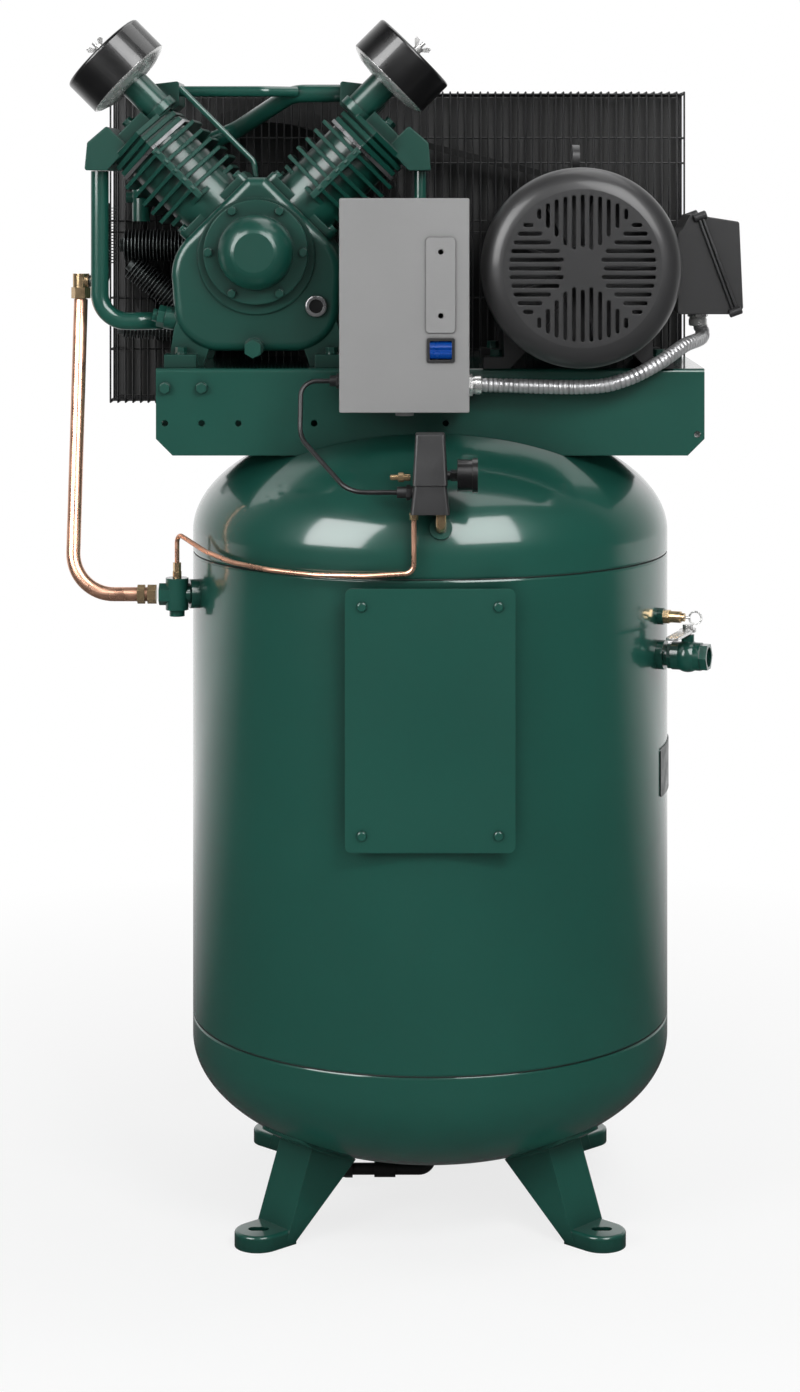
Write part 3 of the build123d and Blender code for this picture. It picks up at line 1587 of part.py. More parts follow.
# Flexible conduit: straight through the fitting at each end, one smooth curve between them.
conduit_radius = 11
conduit_bore = 9.5
drop_x = 423
drop_y = -90
with BuildLine() as conduit_path:
    Line((hub_x - 6, hub_y, hub_z), (hub_x + 26, hub_y, hub_z))
    Spline(
        (hub_x + 26, hub_y, hub_z),
        (262, hub_y, 1304),
        (360, -203, 1320),
        (410, -160, 1354),
        (drop_x, drop_y, terminal_low - 24),
        tangents=[(1, 0, 0), (0, 0, 1)],
    )
    Line((drop_x, drop_y, terminal_low - 24), (drop_x, drop_y, terminal_low + 9))
with BuildPart() as conduit_hole:
    with BuildSketch(Plane(conduit_path.line ^ 0)):
        Circle(conduit_bore)
    sweep(path=conduit_path.line)
with BuildPart() as motor_conduit:
    with BuildSketch(Plane(conduit_path.line ^ 0)):
        Circle(conduit_radius)
    sweep(path=conduit_path.line)
    add(hex_along((hub_x + 0.1, hub_y, hub_z), (1, 0, 0), 30, 7))
    add(ring_along((hub_x + 7, hub_y, hub_z), (1, 0, 0), 14, 0, 14))
    add(ring_along((drop_x, drop_y, terminal_low - 22), (0, 0, 1), 14, 0, 16))
    add(hex_along((drop_x, drop_y, terminal_low - 7), (0, 0, 1), 30, 6.9))
    add(conduit_hole.part, mode=Mode.SUBTRACT)
motor_conduit.part.label = "motor_conduit"
export_step(motor_conduit.part, "parts/motor_conduit.step")

# ---------------------------------------------------------------- sheave and belts
with BuildPart() as sheave:
    with BuildSketch(motor_side(rim_front)):
        Circle(sheave_pitch + 5)
        Circle(sheave_pitch - 20, mode=Mode.SUBTRACT)
    extrude(amount=rim_front - rim_back)
    with BuildSketch(motor_side(rim_front + 20)):
        Circle(sheave_pitch - 18)
    extrude(amount=-14)
    with BuildSketch(motor_side(rim_front)):
        Circle(40)
    extrude(amount=rim_front - rim_back)
    with BuildSketch(Plane(origin=(motor_x, 0, motor_z), x_dir=(1, 0, 0), z_dir=(0, 0, 1))):
        for depth in belt_y:
            Polygon(*groove_points(sheave_pitch, depth, 0.4), align=None)
    revolve(axis=motor_axis, mode=Mode.SUBTRACT)
    with BuildSketch(motor_side(100)):
        Circle(motor_shaft_radius)
    extrude(amount=-200, mode=Mode.SUBTRACT)
sheave.part.label = "sheave"
export_step(sheave.part, "parts/sheave.step")

# An open belt: an arc round each pulley and a straight run between their contact points.
center_run = Vector(motor_x - crank_x, 0, motor_z - crank_z)
line_angle = math.degrees(math.atan2(center_run.Z, center_run.X))
contact_angle = math.degrees(math.acos((flywheel_pitch - sheave_pitch) / center_run.length))
run_length = math.sqrt(center_run.length**2 - (flywheel_pitch - sheave_pitch) ** 2)
upper_angle = line_angle + contact_angle
lower_angle = line_angle - contact_angle


def belt_section(center, pitch, angle):
    """Plane and outline of the belt's section at an angle round a pulley."""
    turn = math.radians(angle)
    plane = Plane(
        origin=center,
        x_dir=(math.cos(turn), 0, math.sin(turn)),
        z_dir=(-math.sin(turn), 0, math.cos(turn)),
    )
    outline = [
        (pitch + 3, -belt_width / 2),
        (pitch + 3, belt_width / 2),
        (pitch + 3 - belt_depth, belt_width / 2 - 3.4),
        (pitch + 3 - belt_depth, -belt_width / 2 + 3.4),
    ]
    return plane, outline


with BuildPart() as v_belts:
    for depth in belt_y:
        wheel_center = (crank_x, depth, crank_z)
        motor_center = (motor_x, depth, motor_z)
        turns = (
            (wheel_center, flywheel_pitch, upper_angle, 360 - 2 * contact_angle),
            (motor_center, sheave_pitch, lower_angle, 2 * contact_angle),
        )
        for center, pitch, start_angle, wrap in turns:
            plane, outline = belt_section(center, pitch, start_angle)
            with BuildSketch(plane):
                Polygon(*outline, align=None)
            revolve(axis=Axis(center, (0, -1, 0)), revolution_arc=wrap)
        runs = (
            (motor_center, sheave_pitch, upper_angle),
            (wheel_center, flywheel_pitch, lower_angle),
        )
        for center, pitch, start_angle in runs:
            plane, outline = belt_section(center, pitch, start_angle)
            with BuildSketch(plane):
                Polygon(*outline, align=None)
            extrude(amount=run_length)
v_belts.part.label = "v_belts"
export_step(v_belts.part, "parts/v_belts.step")

# ---------------------------------------------------------------- belt guard
# Main wires only: the fine wires between them share their planes and carry no load.
wire_rows = (1345, 1431, 1541, 1657, 1699)
guard_columns = 12
guard_width = guard_right - guard_left
guard_middle_x = (guard_left + guard_right) / 2
column_pitch = (guard_width - wire) / guard_columns
all_rows = (guard_bottom + wire / 2, *wire_rows, guard_top - wire / 2)
guard_depth = guard_back - guard_front - 2 * wire
guard_middle_y = (guard_front + guard_back) / 2
openings = ((crank_x, crank_z, 70), (motor_x, motor_z, 54))

with BuildPart() as belt_guard:
    for depth in (guard_front, guard_back - wire):
        with BuildSketch(Plane(origin=(0, depth, 0), x_dir=(1, 0, 0), z_dir=(0, -1, 0))):
            with Locations((guard_middle_x, (guard_bottom + guard_top) / 2)):
                Rectangle(guard_width, guard_top - guard_bottom)
            for low, high in zip(all_rows[:-1], all_rows[1:]):
                with Locations((guard_middle_x, (low + high) / 2)):
                    with GridLocations(column_pitch, 1, guard_columns, 1):
                        Rectangle(column_pitch - wire, high - low - wire, mode=Mode.SUBTRACT)
            if depth == guard_front:
                for x, z, radius in openings:
                    with Locations((x, z)):
                        Circle(radius + 4)
                for x, z, radius in openings:
                    with Locations((x, z)):
                        Circle(radius, mode=Mode.SUBTRACT)
        extrude(amount=-wire)
    # Ties from the front panel to the back panel along the top, the bottom and both sides.
    tie_columns = [guard_left + column_pitch * k + wire / 2 for k in range(guard_columns + 1)]
    ties = [(x, z) for x in tie_columns for z in (all_rows[0], all_rows[-1])]
    ties += [(x, z) for x in (tie_columns[0], tie_columns[-1]) for z in wire_rows]
    for x, z in ties:
        with Locations((x, guard_middle_y, z)):
            Box(wire, guard_depth, wire)
    # Two brackets from the guard's front wires to the platform's back edge.
    for x in (-300, 300):
        with Locations((x, platform_half_y, 1310)):
            Box(30, guard_front - platform_half_y, 4, align=(Align.CENTER, Align.MIN, Align.CENTER))
        with Locations((x, platform_half_y, 1300)):
            Box(30, 3, 24, align=(Align.CENTER, Align.MIN, Align.CENTER))
belt_guard.part.label = "belt_guard"
export_step(belt_guard.part, "parts/belt_guard.step")

# ---------------------------------------------------------------- platform fasteners
bolt_shank = 5.9
with BuildPart() as platform_bolts:
    for x in pump_foot_x:
        for y in pump_foot_y:
            spot = (x, y, platform_top + foot_thickness)
            add(cap_screw(spot, (0, 0, 1), bolt_shank, 16, 11, foot_thickness + sheet))
            add(hex_along((x, y, platform_top - sheet), (0, 0, -1), 19, 10))
    for x in motor_foot_x:
        for y in motor_foot_y:
            spot = (x, y, platform_top + motor_foot_thickness)
            add(cap_screw(spot, (0, 0, 1), bolt_shank, 16, 11, motor_foot_thickness + sheet))
            add(hex_along((x, y, platform_top - sheet), (0, 0, -1), 19, 10))
    for x in (-412, -355):
        spot = (x, -platform_half_y, apron_bolt_z)
        add(cap_screw(spot, (0, -1, 0), 4.9, 15, 9, sheet))
    for x in box_bolt_x:
        spot = (x, box_back - 2, box_bolt_z)
        add(cap_screw(spot, (0, -1, 0), 3.9, 12, 6, 2 + sheet - box_back - platform_half_y))
        add(ring_along((x, box_back, box_bolt_z), (0, 1, 0), 9, 3.9, -platform_half_y - box_back))

with BuildPart() as hex_bolts:
    add(pump_bolts.part)
    add(platform_bolts.part)
hex_bolts.part.label = "hex_bolts"
export_step(hex_bolts.part, "parts/hex_bolts.step")

# ---------------------------------------------------------------- tank drain
drain_line_z = 34
drain_end_x = -135
with BuildPart() as drain_pipe:
    add(bent_pipe([(0, 0, 63.9), (0, 0, drain_line_z), (drain_end_x, 0, drain_line_z)], 18, 9.5, 6.5))
    add(ring_along((-56, 0, drain_line_z), (-1, 0, 0), 13, 6.5, 34))
    add(hex_along((drain_end_x + 10, 0, drain_line_z), (-1, 0, 0), 25, 12, 6.5))
    with BuildSketch(Plane(origin=(drain_end_x, 0, drain_line_z), z_dir=(-1, 0, 0))):
        Circle(13)
    extrude(amount=36)
    add(ring_along((drain_end_x - 18, 0, drain_line_z), (0, 0, 1), 7, 0, 18))
    add(ring_along((drain_end_x - 50, 0, drain_line_z), (1, 0, 0), 5.5, 0, 60), mode=Mode.SUBTRACT)
    add(ring_along((drain_end_x - 28, 0, drain_line_z), (-1, 0, 0), 6.5, 0, 30), mode=Mode.SUBTRACT)
    add(
        ring_along((drain_end_x - 18, 0, drain_line_z - 9), (0, 0, 1), 4 + clearance, 0, 40),
        mode=Mode.SUBTRACT,
    )
    with Locations((drain_end_x - 18, 0, drain_line_z)):
        Sphere(9 + clearance, mode=Mode.SUBTRACT)
drain_pipe.part.label = "drain_pipe"
export_step(drain_pipe.part, "parts/drain_pipe.step")

with BuildPart() as drain_handle:
    with Locations((drain_end_x - 18, 0, drain_line_z)):
        Sphere(9)
    add(ring_along((drain_end_x - 18, 0, drain_line_z), (0, 0, 1), 4, 0, 26))
    with Locations((drain_end_x - 18, 0, drain_line_z + 22)):
        Box(14, 14, 4)
    with Locations((drain_end_x - 18, 24, drain_line_z + 22)):
        Box(10, 46, 3)
    add(ring_along((drain_end_x - 18, -20, drain_line_z), (0, 1, 0), 6, 0, 40), mode=Mode.SUBTRACT)
drain_handle.part.label = "drain_handle"
export_step(drain_handle.part, "parts/drain_handle.step")

# ---------------------------------------------------------------- outlet ball valve
valve_start = 392
valve_middle = 428
valve_end = 462
ball_radius = 19
outlet_bore = 15.2
thread_depth = 12
stem_radius = 5


def valve_point(reach, height=0.0):
    """Point on the outlet's axis at a distance from the tank's axis, raised by a height."""
    return (reach * valve_axis[0], reach * valve_axis[1], valve_height + height)


with BuildPart() as ball_valve_body:
    add(ring_along(valve_point(valve_start), valve_axis, 16.7, 0, 12))
    add(hex_along(valve_point(valve_start + 6), valve_axis, 38, 12))
    add(ring_along(valve_point(valve_start + 12), valve_axis, 22, 0, 46))
    add(hex_along(valve_point(valve_end - 16), valve_axis, 38, 16))
    with Locations(valve_point(valve_middle)):
        Sphere(25)
    add(ring_along(valve_point(valve_middle), (0, 0, 1), 10, 0, 34))
    add(ring_along(valve_point(valve_start - 20), valve_axis, 12, 0, 90), mode=Mode.SUBTRACT)
    thread_start = valve_point(valve_end - thread_depth)
    add(ring_along(thread_start, valve_axis, outlet_bore, 0, 40), mode=Mode.SUBTRACT)
    with Locations(valve_point(valve_middle)):
        Sphere(ball_radius + clearance, mode=Mode.SUBTRACT)
    add(
        ring_along(valve_point(valve_middle, 10), (0, 0, 1), stem_radius + clearance, 0, 60),
        mode=Mode.SUBTRACT,
    )
ball_valve_body.part.label = "ball_valve_body"
export_step(ball_valve_body.part, "parts/ball_valve_body.step")

lever_plane = Plane(
    origin=valve_point(valve_middle, 38),
    x_dir=(valve_axis[1], -valve_axis[0], 0),
    z_dir=(0, 0, 1),
)
with BuildPart() as ball_valve_lever:
    with Locations(valve_point(valve_middle)):
        Sphere(ball_radius)
    add(ring_along(valve_point(valve_middle), (0, 0, 1), stem_radius, 0, 46))
    with BuildSketch(lever_plane):
        SlotCenterPoint((40, 0), (92, 0), 20)
        Circle(13)
        Rectangle(40, 18, align=(Align.MIN, Align.CENTER))
    extrude(amount=4)
    add(hex_along(valve_point(valve_middle, 42), (0, 0, 1), 14, 7))
    through = Plane(origin=valve_point(valve_middle), z_dir=lever_plane.x_dir)
    with BuildSketch(through):
        Circle(12)
    extrude(amount=40, both=True, mode=Mode.SUBTRACT)
ball_valve_lever.part.label = "ball_valve_lever"
export_step(ball_valve_lever.part, "parts/ball_valve_lever.step")

# ---------------------------------------------------------------- safety valve


def safety_point(reach, height=0.0):
    """Point on the safety valve's axis."""
    return (reach * valve_axis[0], reach * valve_axis[1], safety_height + height)


with BuildPart() as safety_valve:
    add(hex_along(safety_point(390), valve_axis, 20, 9))
    add(ring_along(safety_point(399), valve_axis, 9, 0, 18))
    add(ring_along(safety_point(417), valve_axis, 6.5, 0, 6))
    add(ring_along(safety_point(400), valve_axis, 2 + clearance, 0, 40), mode=Mode.SUBTRACT)
safety_valve.part.label = "safety_valve"
export_step(safety_valve.part, "parts/safety_valve.step")

with BuildPart() as safety_ring:
    add(ring_along(safety_point(402), valve_axis, 2, 0, 30))
    ring_plane = Plane(
        origin=safety_point(440),
        x_dir=valve_axis,
        z_dir=(valve_axis[1], -valve_axis[0], 0),
    )
    with BuildSketch(ring_plane):
        Circle(11)
        Circle(8.4, mode=Mode.SUBTRACT)
    extrude(amount=1.3, both=True)
safety_ring.part.label = "safety_ring"
export_step(safety_ring.part, "parts/safety_ring.step")
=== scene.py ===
"""Looks of the vertical tank compressor around its CAD frame: materials, visual pieces, studio."""

import json
import math

import bmesh
import bpy
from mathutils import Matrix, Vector


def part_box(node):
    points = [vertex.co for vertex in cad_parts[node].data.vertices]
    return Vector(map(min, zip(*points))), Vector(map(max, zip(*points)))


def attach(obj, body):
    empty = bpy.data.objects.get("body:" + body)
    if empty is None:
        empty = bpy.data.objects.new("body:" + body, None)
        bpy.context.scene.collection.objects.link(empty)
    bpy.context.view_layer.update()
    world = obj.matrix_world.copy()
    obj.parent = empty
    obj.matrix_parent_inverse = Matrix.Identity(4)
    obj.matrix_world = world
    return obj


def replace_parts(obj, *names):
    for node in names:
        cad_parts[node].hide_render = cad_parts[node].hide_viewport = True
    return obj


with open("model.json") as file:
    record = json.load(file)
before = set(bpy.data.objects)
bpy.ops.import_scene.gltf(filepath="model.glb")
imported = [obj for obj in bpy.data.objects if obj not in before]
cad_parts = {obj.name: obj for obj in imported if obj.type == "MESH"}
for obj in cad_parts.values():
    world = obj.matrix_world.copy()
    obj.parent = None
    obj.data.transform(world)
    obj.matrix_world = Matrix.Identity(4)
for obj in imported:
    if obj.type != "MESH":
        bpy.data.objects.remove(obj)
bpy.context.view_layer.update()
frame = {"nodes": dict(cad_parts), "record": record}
nodes = frame["nodes"]
ROOT = "compressor_frame"


# ---------------------------------------------------------------- materials
def new_material(name):
    """A node material with a principled shader; returns the material and its node tree."""
    material = bpy.data.materials.new(name)
    material.use_nodes = True
    return material, material.node_tree


def link_value(tree, socket, value):
    """Sets a socket to a number, or links it to another socket."""
    if isinstance(value, bpy.types.NodeSocket):
        tree.links.new(value, socket)
    else:
        socket.default_value = value


def noise(tree, scale, detail=4.0, roughness=0.55):
    """Noise in object space, in features per metre."""
    place = tree.nodes.new("ShaderNodeTexCoord")
    texture = tree.nodes.new("ShaderNodeTexNoise")
    texture.inputs["Scale"].default_value = scale
    texture.inputs["Detail"].default_value = detail
    texture.inputs["Roughness"].default_value = roughness
    tree.links.new(place.outputs["Object"], texture.inputs["Vector"])
    return texture.outputs["Fac"]


def remap(tree, value, low, high, to_low, to_high):
    """Linear remap with clamping."""
    node = tree.nodes.new("ShaderNodeMapRange")
    link_value(tree, node.inputs["Value"], value)
    limits = {"From Min": low, "From Max": high, "To Min": to_low, "To Max": to_high}
    for socket, number in limits.items():
        node.inputs[socket].default_value = number
    return node.outputs["Result"]


# A Mix node has one set of sockets per data type; these are the colour ones.
COLOR_A = 6
COLOR_B = 7
COLOR_RESULT = 2


def mix_color(tree, factor, first, second):
    """Mixes two colours by a factor."""
    node = tree.nodes.new("ShaderNodeMix")
    node.data_type = "RGBA"
    link_value(tree, node.inputs["Factor"], factor)
    for index, color in ((COLOR_A, first), (COLOR_B, second)):
        if isinstance(color, bpy.types.NodeSocket):
            tree.links.new(color, node.inputs[index])
        else:
            node.inputs[index].default_value = (*color, 1)
    return node.outputs[COLOR_RESULT]


def multiply(tree, first, second):
    """Product of two values."""
    node = tree.nodes.new("ShaderNodeMath")
    node.operation = "MULTIPLY"
    tree.links.new(first, node.inputs[0])
    tree.links.new(second, node.inputs[1])
    return node.outputs[0]


def tinted(color, gain, lift=0.0):
    """The colour made lighter or darker."""
    return tuple(min(1, channel * gain + lift) for channel in color)


def bump(tree, height, strength, distance, normal=None):
    """Bump from a height field; distance is the full relief in metres."""
    node = tree.nodes.new("ShaderNodeBump")
    node.inputs["Strength"].default_value = strength
    node.inputs["Distance"].default_value = distance
    tree.links.new(height, node.inputs["Height"])
    if normal is not None:
        tree.links.new(normal, node.inputs["Normal"])
    return node.outputs["Normal"]


SHADER_SAMPLES = 4


def round_edges(tree, radius):
    """Normal that runs smoothly round the edges."""
    bevel = tree.nodes.new("ShaderNodeBevel")
    bevel.samples = SHADER_SAMPLES
    bevel.inputs["Radius"].default_value = radius
    return bevel.outputs["Normal"]


def edge_factor(tree, rounded, low=0.015, high=0.12):
    """1 along convex and concave edges, 0 on flats."""
    geometry = tree.nodes.new("ShaderNodeNewGeometry")
    dot = tree.nodes.new("ShaderNodeVectorMath")
    dot.operation = "DOT_PRODUCT"
    tree.links.new(rounded, dot.inputs[0])
    tree.links.new(geometry.outputs["Normal"], dot.inputs[1])
    return remap(tree, dot.outputs["Value"], 1 - low, 1 - high, 0, 1)


def crevice_shade_factor(tree, distance):
    """1 in crevices, 0 in the open: ambient occlusion that marks where painted shade goes."""
    node = tree.nodes.new("ShaderNodeAmbientOcclusion")
    node.samples = SHADER_SAMPLES
    node.inputs["Distance"].default_value = distance
    return remap(tree, node.outputs["AO"], 0.35, 0.95, 1, 0)


def principled(tree, **values):
    """Sets the principled shader's sockets by name."""
    shader = tree.nodes["Principled BSDF"]
    for key, value in values.items():
        socket = shader.inputs[key.replace("_", " ")]
        if isinstance(value, tuple) and len(value) == 3 and socket.type == "RGBA":
            value = (*value, 1)
        link_value(tree, socket, value)
    return shader


def enamel(
    name,
    color,
    grain,
    relief,
    rough,
    coat=0.3,
    gloss=0.12,
    spec=0.35,
    wear=0.35,
    crevice_shade_reach=0.05,
    edge_radius=0.002,
):
    """Painted metal: orange peel or cast grain, tone drift, lighter worn edges and painted shade in
    crevices.
    """
    material, tree = new_material(name)
    drift = remap(tree, noise(tree, scale=3, detail=3), 0.3, 0.7, 0, 1)
    base = mix_color(tree, drift, tinted(color, 0.9), color)
    fine = noise(tree, grain, detail=3)
    speck = remap(tree, noise(tree, scale=90, detail=6, roughness=0.7), 0.62, 0.78, 0, 0.1)
    base = mix_color(tree, speck, base, tinted(color, 0.7))
    # Painted shade: the colour is darkened in crevices by ambient occlusion.
    base = mix_color(tree, crevice_shade_factor(tree, crevice_shade_reach), base, tinted(color, 0.3))
    rounded = round_edges(tree, edge_radius)
    patches = remap(tree, noise(tree, scale=55, detail=5), 0.42, 0.68, 0, wear)
    worn = multiply(tree, edge_factor(tree, rounded), patches)
    base = mix_color(tree, worn, base, tinted(color, 1.6, 0.01))
    normal = bump(tree, fine, 0.35, relief, rounded)
    normal = bump(tree, noise(tree, scale=9, detail=2), 0.12, relief * 3, normal)
    principled(
        tree,
        Base_Color=base,
        Roughness=remap(tree, noise(tree, scale=14, detail=5), 0.3, 0.7, rough * 0.93, rough * 1.08),
        Normal=normal,
        Coat_Weight=coat,
        Coat_Roughness=gloss,
        Specular_IOR_Level=spec,
    )
    return material


def metal(name, color, rough, grain=500.0, relief=0.00002, tarnish=0.25, edge_radius=0.0008, sheen=0.9):
    """Bare metal: fine grain, tone drift, tarnish patches and painted shade in crevices."""
    material, tree = new_material(name)
    patches = remap(tree, noise(tree, scale=24, detail=5), 0.35, 0.7, 0, tarnish * 2)
    base = mix_color(tree, patches, color, tinted(color, 0.62))
    # Painted shade: the colour is darkened in crevices by ambient occlusion.
    base = mix_color(tree, crevice_shade_factor(tree, 0.012), base, tinted(color, 0.28))
    fine = noise(tree, grain, detail=3, roughness=0.6)
    rounded = round_edges(tree, edge_radius) if edge_radius else None
    principled(
        tree,
        Base_Color=base,
        Metallic=sheen,
        Roughness=remap(tree, noise(tree, scale=38, detail=5), 0.3, 0.7, rough * 0.7, rough * 1.4),
        Normal=bump(tree, fine, 0.3, relief, rounded),
    )
    return material


def moulded(name, color, rough, grain=900.0, relief=0.00004, coat=0.0):
    """Moulded plastic or rubber: fine texture, faint scuffs and a painted highlight along the edges."""
    material, tree = new_material(name)
    scuff = remap(tree, noise(tree, scale=30, detail=8, roughness=0.7), 0.55, 0.8, 0, 0.35)
    pale = tinted(color, 1.7, 0.02)
    base = mix_color(tree, scuff, color, pale)
    rounded = round_edges(tree, 0.001)
    # Painted highlight: the colour is lighter along every edge.
    base = mix_color(tree, edge_factor(tree, rounded), base, pale)
    principled(
        tree,
        Base_Color=base,
        Roughness=remap(tree, noise(tree, scale=20, detail=5), 0.3, 0.7, rough * 0.85, rough * 1.2),
        Normal=bump(tree, noise(tree, grain, detail=2), 0.4, relief, rounded),
        Coat_Weight=coat,
    )
    return material


def lens_glass():
    """Thin clear window with faint smears."""
    material, tree = new_material("lens_glass")
    principled(
        tree,
        Base_Color=(0.9, 0.95, 0.95),
        Roughness=remap(tree, noise(tree, scale=60, detail=5), 0.4, 0.8, 0.02, 0.12),
        Transmission_Weight=0.85,
        Normal=bump(tree, noise(tree, scale=40, detail=3), 0.1, 0.00002),
        Alpha=0.45,
    )
    return material


def dial_ink():
    """White enamel dial with faint mottling."""
    material, tree = new_material("dial_white")
    tone = mix_color(tree, noise(tree, scale=300), (0.78, 0.78, 0.76), (0.86, 0.86, 0.84))
    grain = noise(tree, scale=2000, detail=2)
    principled(tree, Base_Color=tone, Roughness=0.35, Normal=bump(tree, grain, 0.1, 0.00002))
    return material


def seam_painted_shade():
    """Painted shade: dark green standing for the shadow in a weld groove."""
    groove_shade_green = (0.0016, 0.011, 0.008)
    return enamel("seam_painted_shade", groove_shade_green, 500, 0.0001, 0.6, coat=0.0, wear=0.05, edge_radius=0.0006)


GREEN = (0.0105, 0.078, 0.058)
CAST_GREEN = (0.007, 0.064, 0.047)
BOLT_GREEN = (0.010, 0.074, 0.055)
CHARCOAL = (0.030, 0.030, 0.031)
IRON_BLACK = (0.012, 0.012, 0.012)
COAT_BLACK = (0.008, 0.008, 0.009)
BOX_GREY = (0.262, 0.262, 0.262)
looks = {
    "green_paint": enamel("green_enamel", GREEN, 420, 0.00003, 0.32, coat=1.0, gloss=0.11, spec=0.2),
    "green_cast": enamel(
        "green_casting", CAST_GREEN, 260, 0.0002, 0.32, coat=0.35, crevice_shade_reach=0.03, edge_radius=0.003
    ),
    "bolt_steel": enamel("green_bolts", BOLT_GREEN, 500, 0.00006, 0.3, wear=0.7),
    "motor_paint": enamel("charcoal_enamel", CHARCOAL, 380, 0.0001, 0.38, coat=0.2, edge_radius=0.003),
    "black_iron": enamel("black_iron_paint", IRON_BLACK, 300, 0.0002, 0.45, coat=0.2),
    "black_wire": enamel("black_wire_coat", COAT_BLACK, 600, 0.00005, 0.4, coat=0.2),
    "grey_box": enamel(
        "grey_powder_coat", BOX_GREY, 900, 0.0001, 0.5, coat=0.0, spec=0.2, wear=0.2, crevice_shade_reach=0.02
    ),
    "steel": metal("turned_steel", (0.42, 0.42, 0.43), 0.3),
    "zinc": metal("zinc_plate", (0.8, 0.8, 0.79), 0.24, relief=0.000005, tarnish=0.1, sheen=0.75),
    "conduit_metal": metal(
        "galvanised_strip",
        (0.56, 0.56, 0.57),
        0.36,
        grain=200,
        relief=0.000002,
        tarnish=0.1,
        edge_radius=0,
        sheen=0.7,
    ),
    "fin_metal": metal("dull_fins", (0.20, 0.22, 0.22), 0.45, tarnish=0.5),
    "aluminium": metal("cast_aluminium", (0.72, 0.72, 0.72), 0.35, sheen=0.7),
    "copper": metal(
        "drawn_copper", (0.92, 0.52, 0.36), 0.3, grain=300, relief=0.0000005, tarnish=0.05, edge_radius=0
    ),
    "brass": metal("machined_brass", (0.86, 0.62, 0.36), 0.2, tarnish=0.2),
    "black_gloss": moulded("gloss_black", (0.004, 0.004, 0.0045), 0.3, relief=0.000004, coat=0.5),
    "black_plastic": moulded("black_moulding", (0.012, 0.012, 0.013), 0.42, relief=0.00006),
    "blue_plastic": moulded("blue_moulding", (0.0, 0.045, 0.26), 0.25, relief=0.00001, coat=0.3),
    "cable_rubber": moulded("cable_sheath", COAT_BLACK, 0.38),
    "belt_rubber": moulded("belt_rubber", IRON_BLACK, 0.75, grain=1400, relief=0.0002),
    "filter_paper": moulded("filter_paper", (0.55, 0.46, 0.28), 0.8, grain=700, relief=0.0003),
    "lens_glass": lens_glass(),
    "data_plate": metal("rating_plate", (0.16, 0.17, 0.17), 0.35),
}
slots = {row["node"]: row["material_slot"] for row in frame["record"]["subparts"]}


def dress(obj, slot_name):
    """Gives an object the look for its material slot."""
    obj.data.materials.clear()
    obj.data.materials.append(looks[slot_name])


for node_name, node in nodes.items():
    dress(node, slots[node_name])


# ---------------------------------------------------------------- mesh helpers
def mesh_object(name, mesh_builder, slot_name, smooth=40):
    """Turns a bmesh into a dressed piece of the fixed frame, sharp at edges over smooth degrees."""
    mesh = bpy.data.meshes.new(name)
    bmesh.ops.recalc_face_normals(mesh_builder, faces=mesh_builder.faces)
    mesh_builder.to_mesh(mesh)
    mesh_builder.free()
    obj = bpy.data.objects.new(name, mesh)
    bpy.context.scene.collection.objects.link(obj)
    mesh.shade_smooth()
    mesh.set_sharp_from_angle(angle=math.radians(smooth))
    dress(obj, slot_name)
    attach(obj, ROOT)
    return obj


def circle_points(center, axis, radius, count):
    """Points round a circle about an axis."""
    side = axis.orthogonal().normalized()
    other = axis.cross(side)
    turns = [2 * math.pi * k / count for k in range(count)]
    return [center + (side * math.cos(turn) + other * math.sin(turn)) * radius for turn in turns]


def join_rings(builder, first, second):
    """Quads between two rings with the same number of points."""
    count = len(first)
    for k in range(count):
        after = (k + 1) % count
        builder.faces.new((first[k], first[after], second[after], second[k]))


def aim_builder(builder, origin, axis):
    """Moves a mesh drawn about the vertical to an origin and turns it to an axis."""
    place = Vector((0, 0, 1)).rotation_difference(axis).to_matrix().to_4x4()
    place.translation = origin
    bmesh.ops.transform(builder, matrix=place, verts=builder.verts)


def lathe(builder, profile, segments):
    """Turns a closed profile of (radius, height) points about the vertical."""
    up = Vector((0, 0, 1))
    rings = []
    for radius, height in profile:
        center = Vector((0, 0, height))
        points = circle_points(center, up, radius, segments) if radius else [center]
        rings.append([builder.verts.new(point) for point in points])
    for first, second in zip(rings, rings[1:] + rings[:1]):
        for k in range(segments):
            corners = [first[k % len(first)], first[(k + 1) % len(first)]]
            corners += [second[(k + 1) % len(second)], second[k % len(second)]]
            unique = list(dict.fromkeys(corners))
            if len(unique) > 2:
                builder.faces.new(unique)


def smooth_path(points, entry, leave, step=0.001):
    """Dense points on a smooth curve through the points, with given end directions."""
    knots = [Vector(p) for p in points]
    slopes = [Vector(entry).normalized() * (knots[1] - knots[0]).length]
    for before, after in zip(knots, knots[2:]):
        slopes.append((after - before) / 2)
    slopes.append(Vector(leave).normalized() * (knots[-1] - knots[-2]).length)
    dense = [knots[0]]
    for first, second, out_slope, in_slope in zip(knots, knots[1:], slopes, slopes[1:]):
        count = max(2, math.ceil((second - first).length / step))
        for k in range(1, count + 1):
            t = k / count
            dense.append(
                first * (2 * t**3 - 3 * t**2 + 1)
                + out_slope * (t**3 - 2 * t**2 + t)
                + second * (3 * t**2 - 2 * t**3)
                + in_slope * (t**3 - t**2)
            )
    return dense


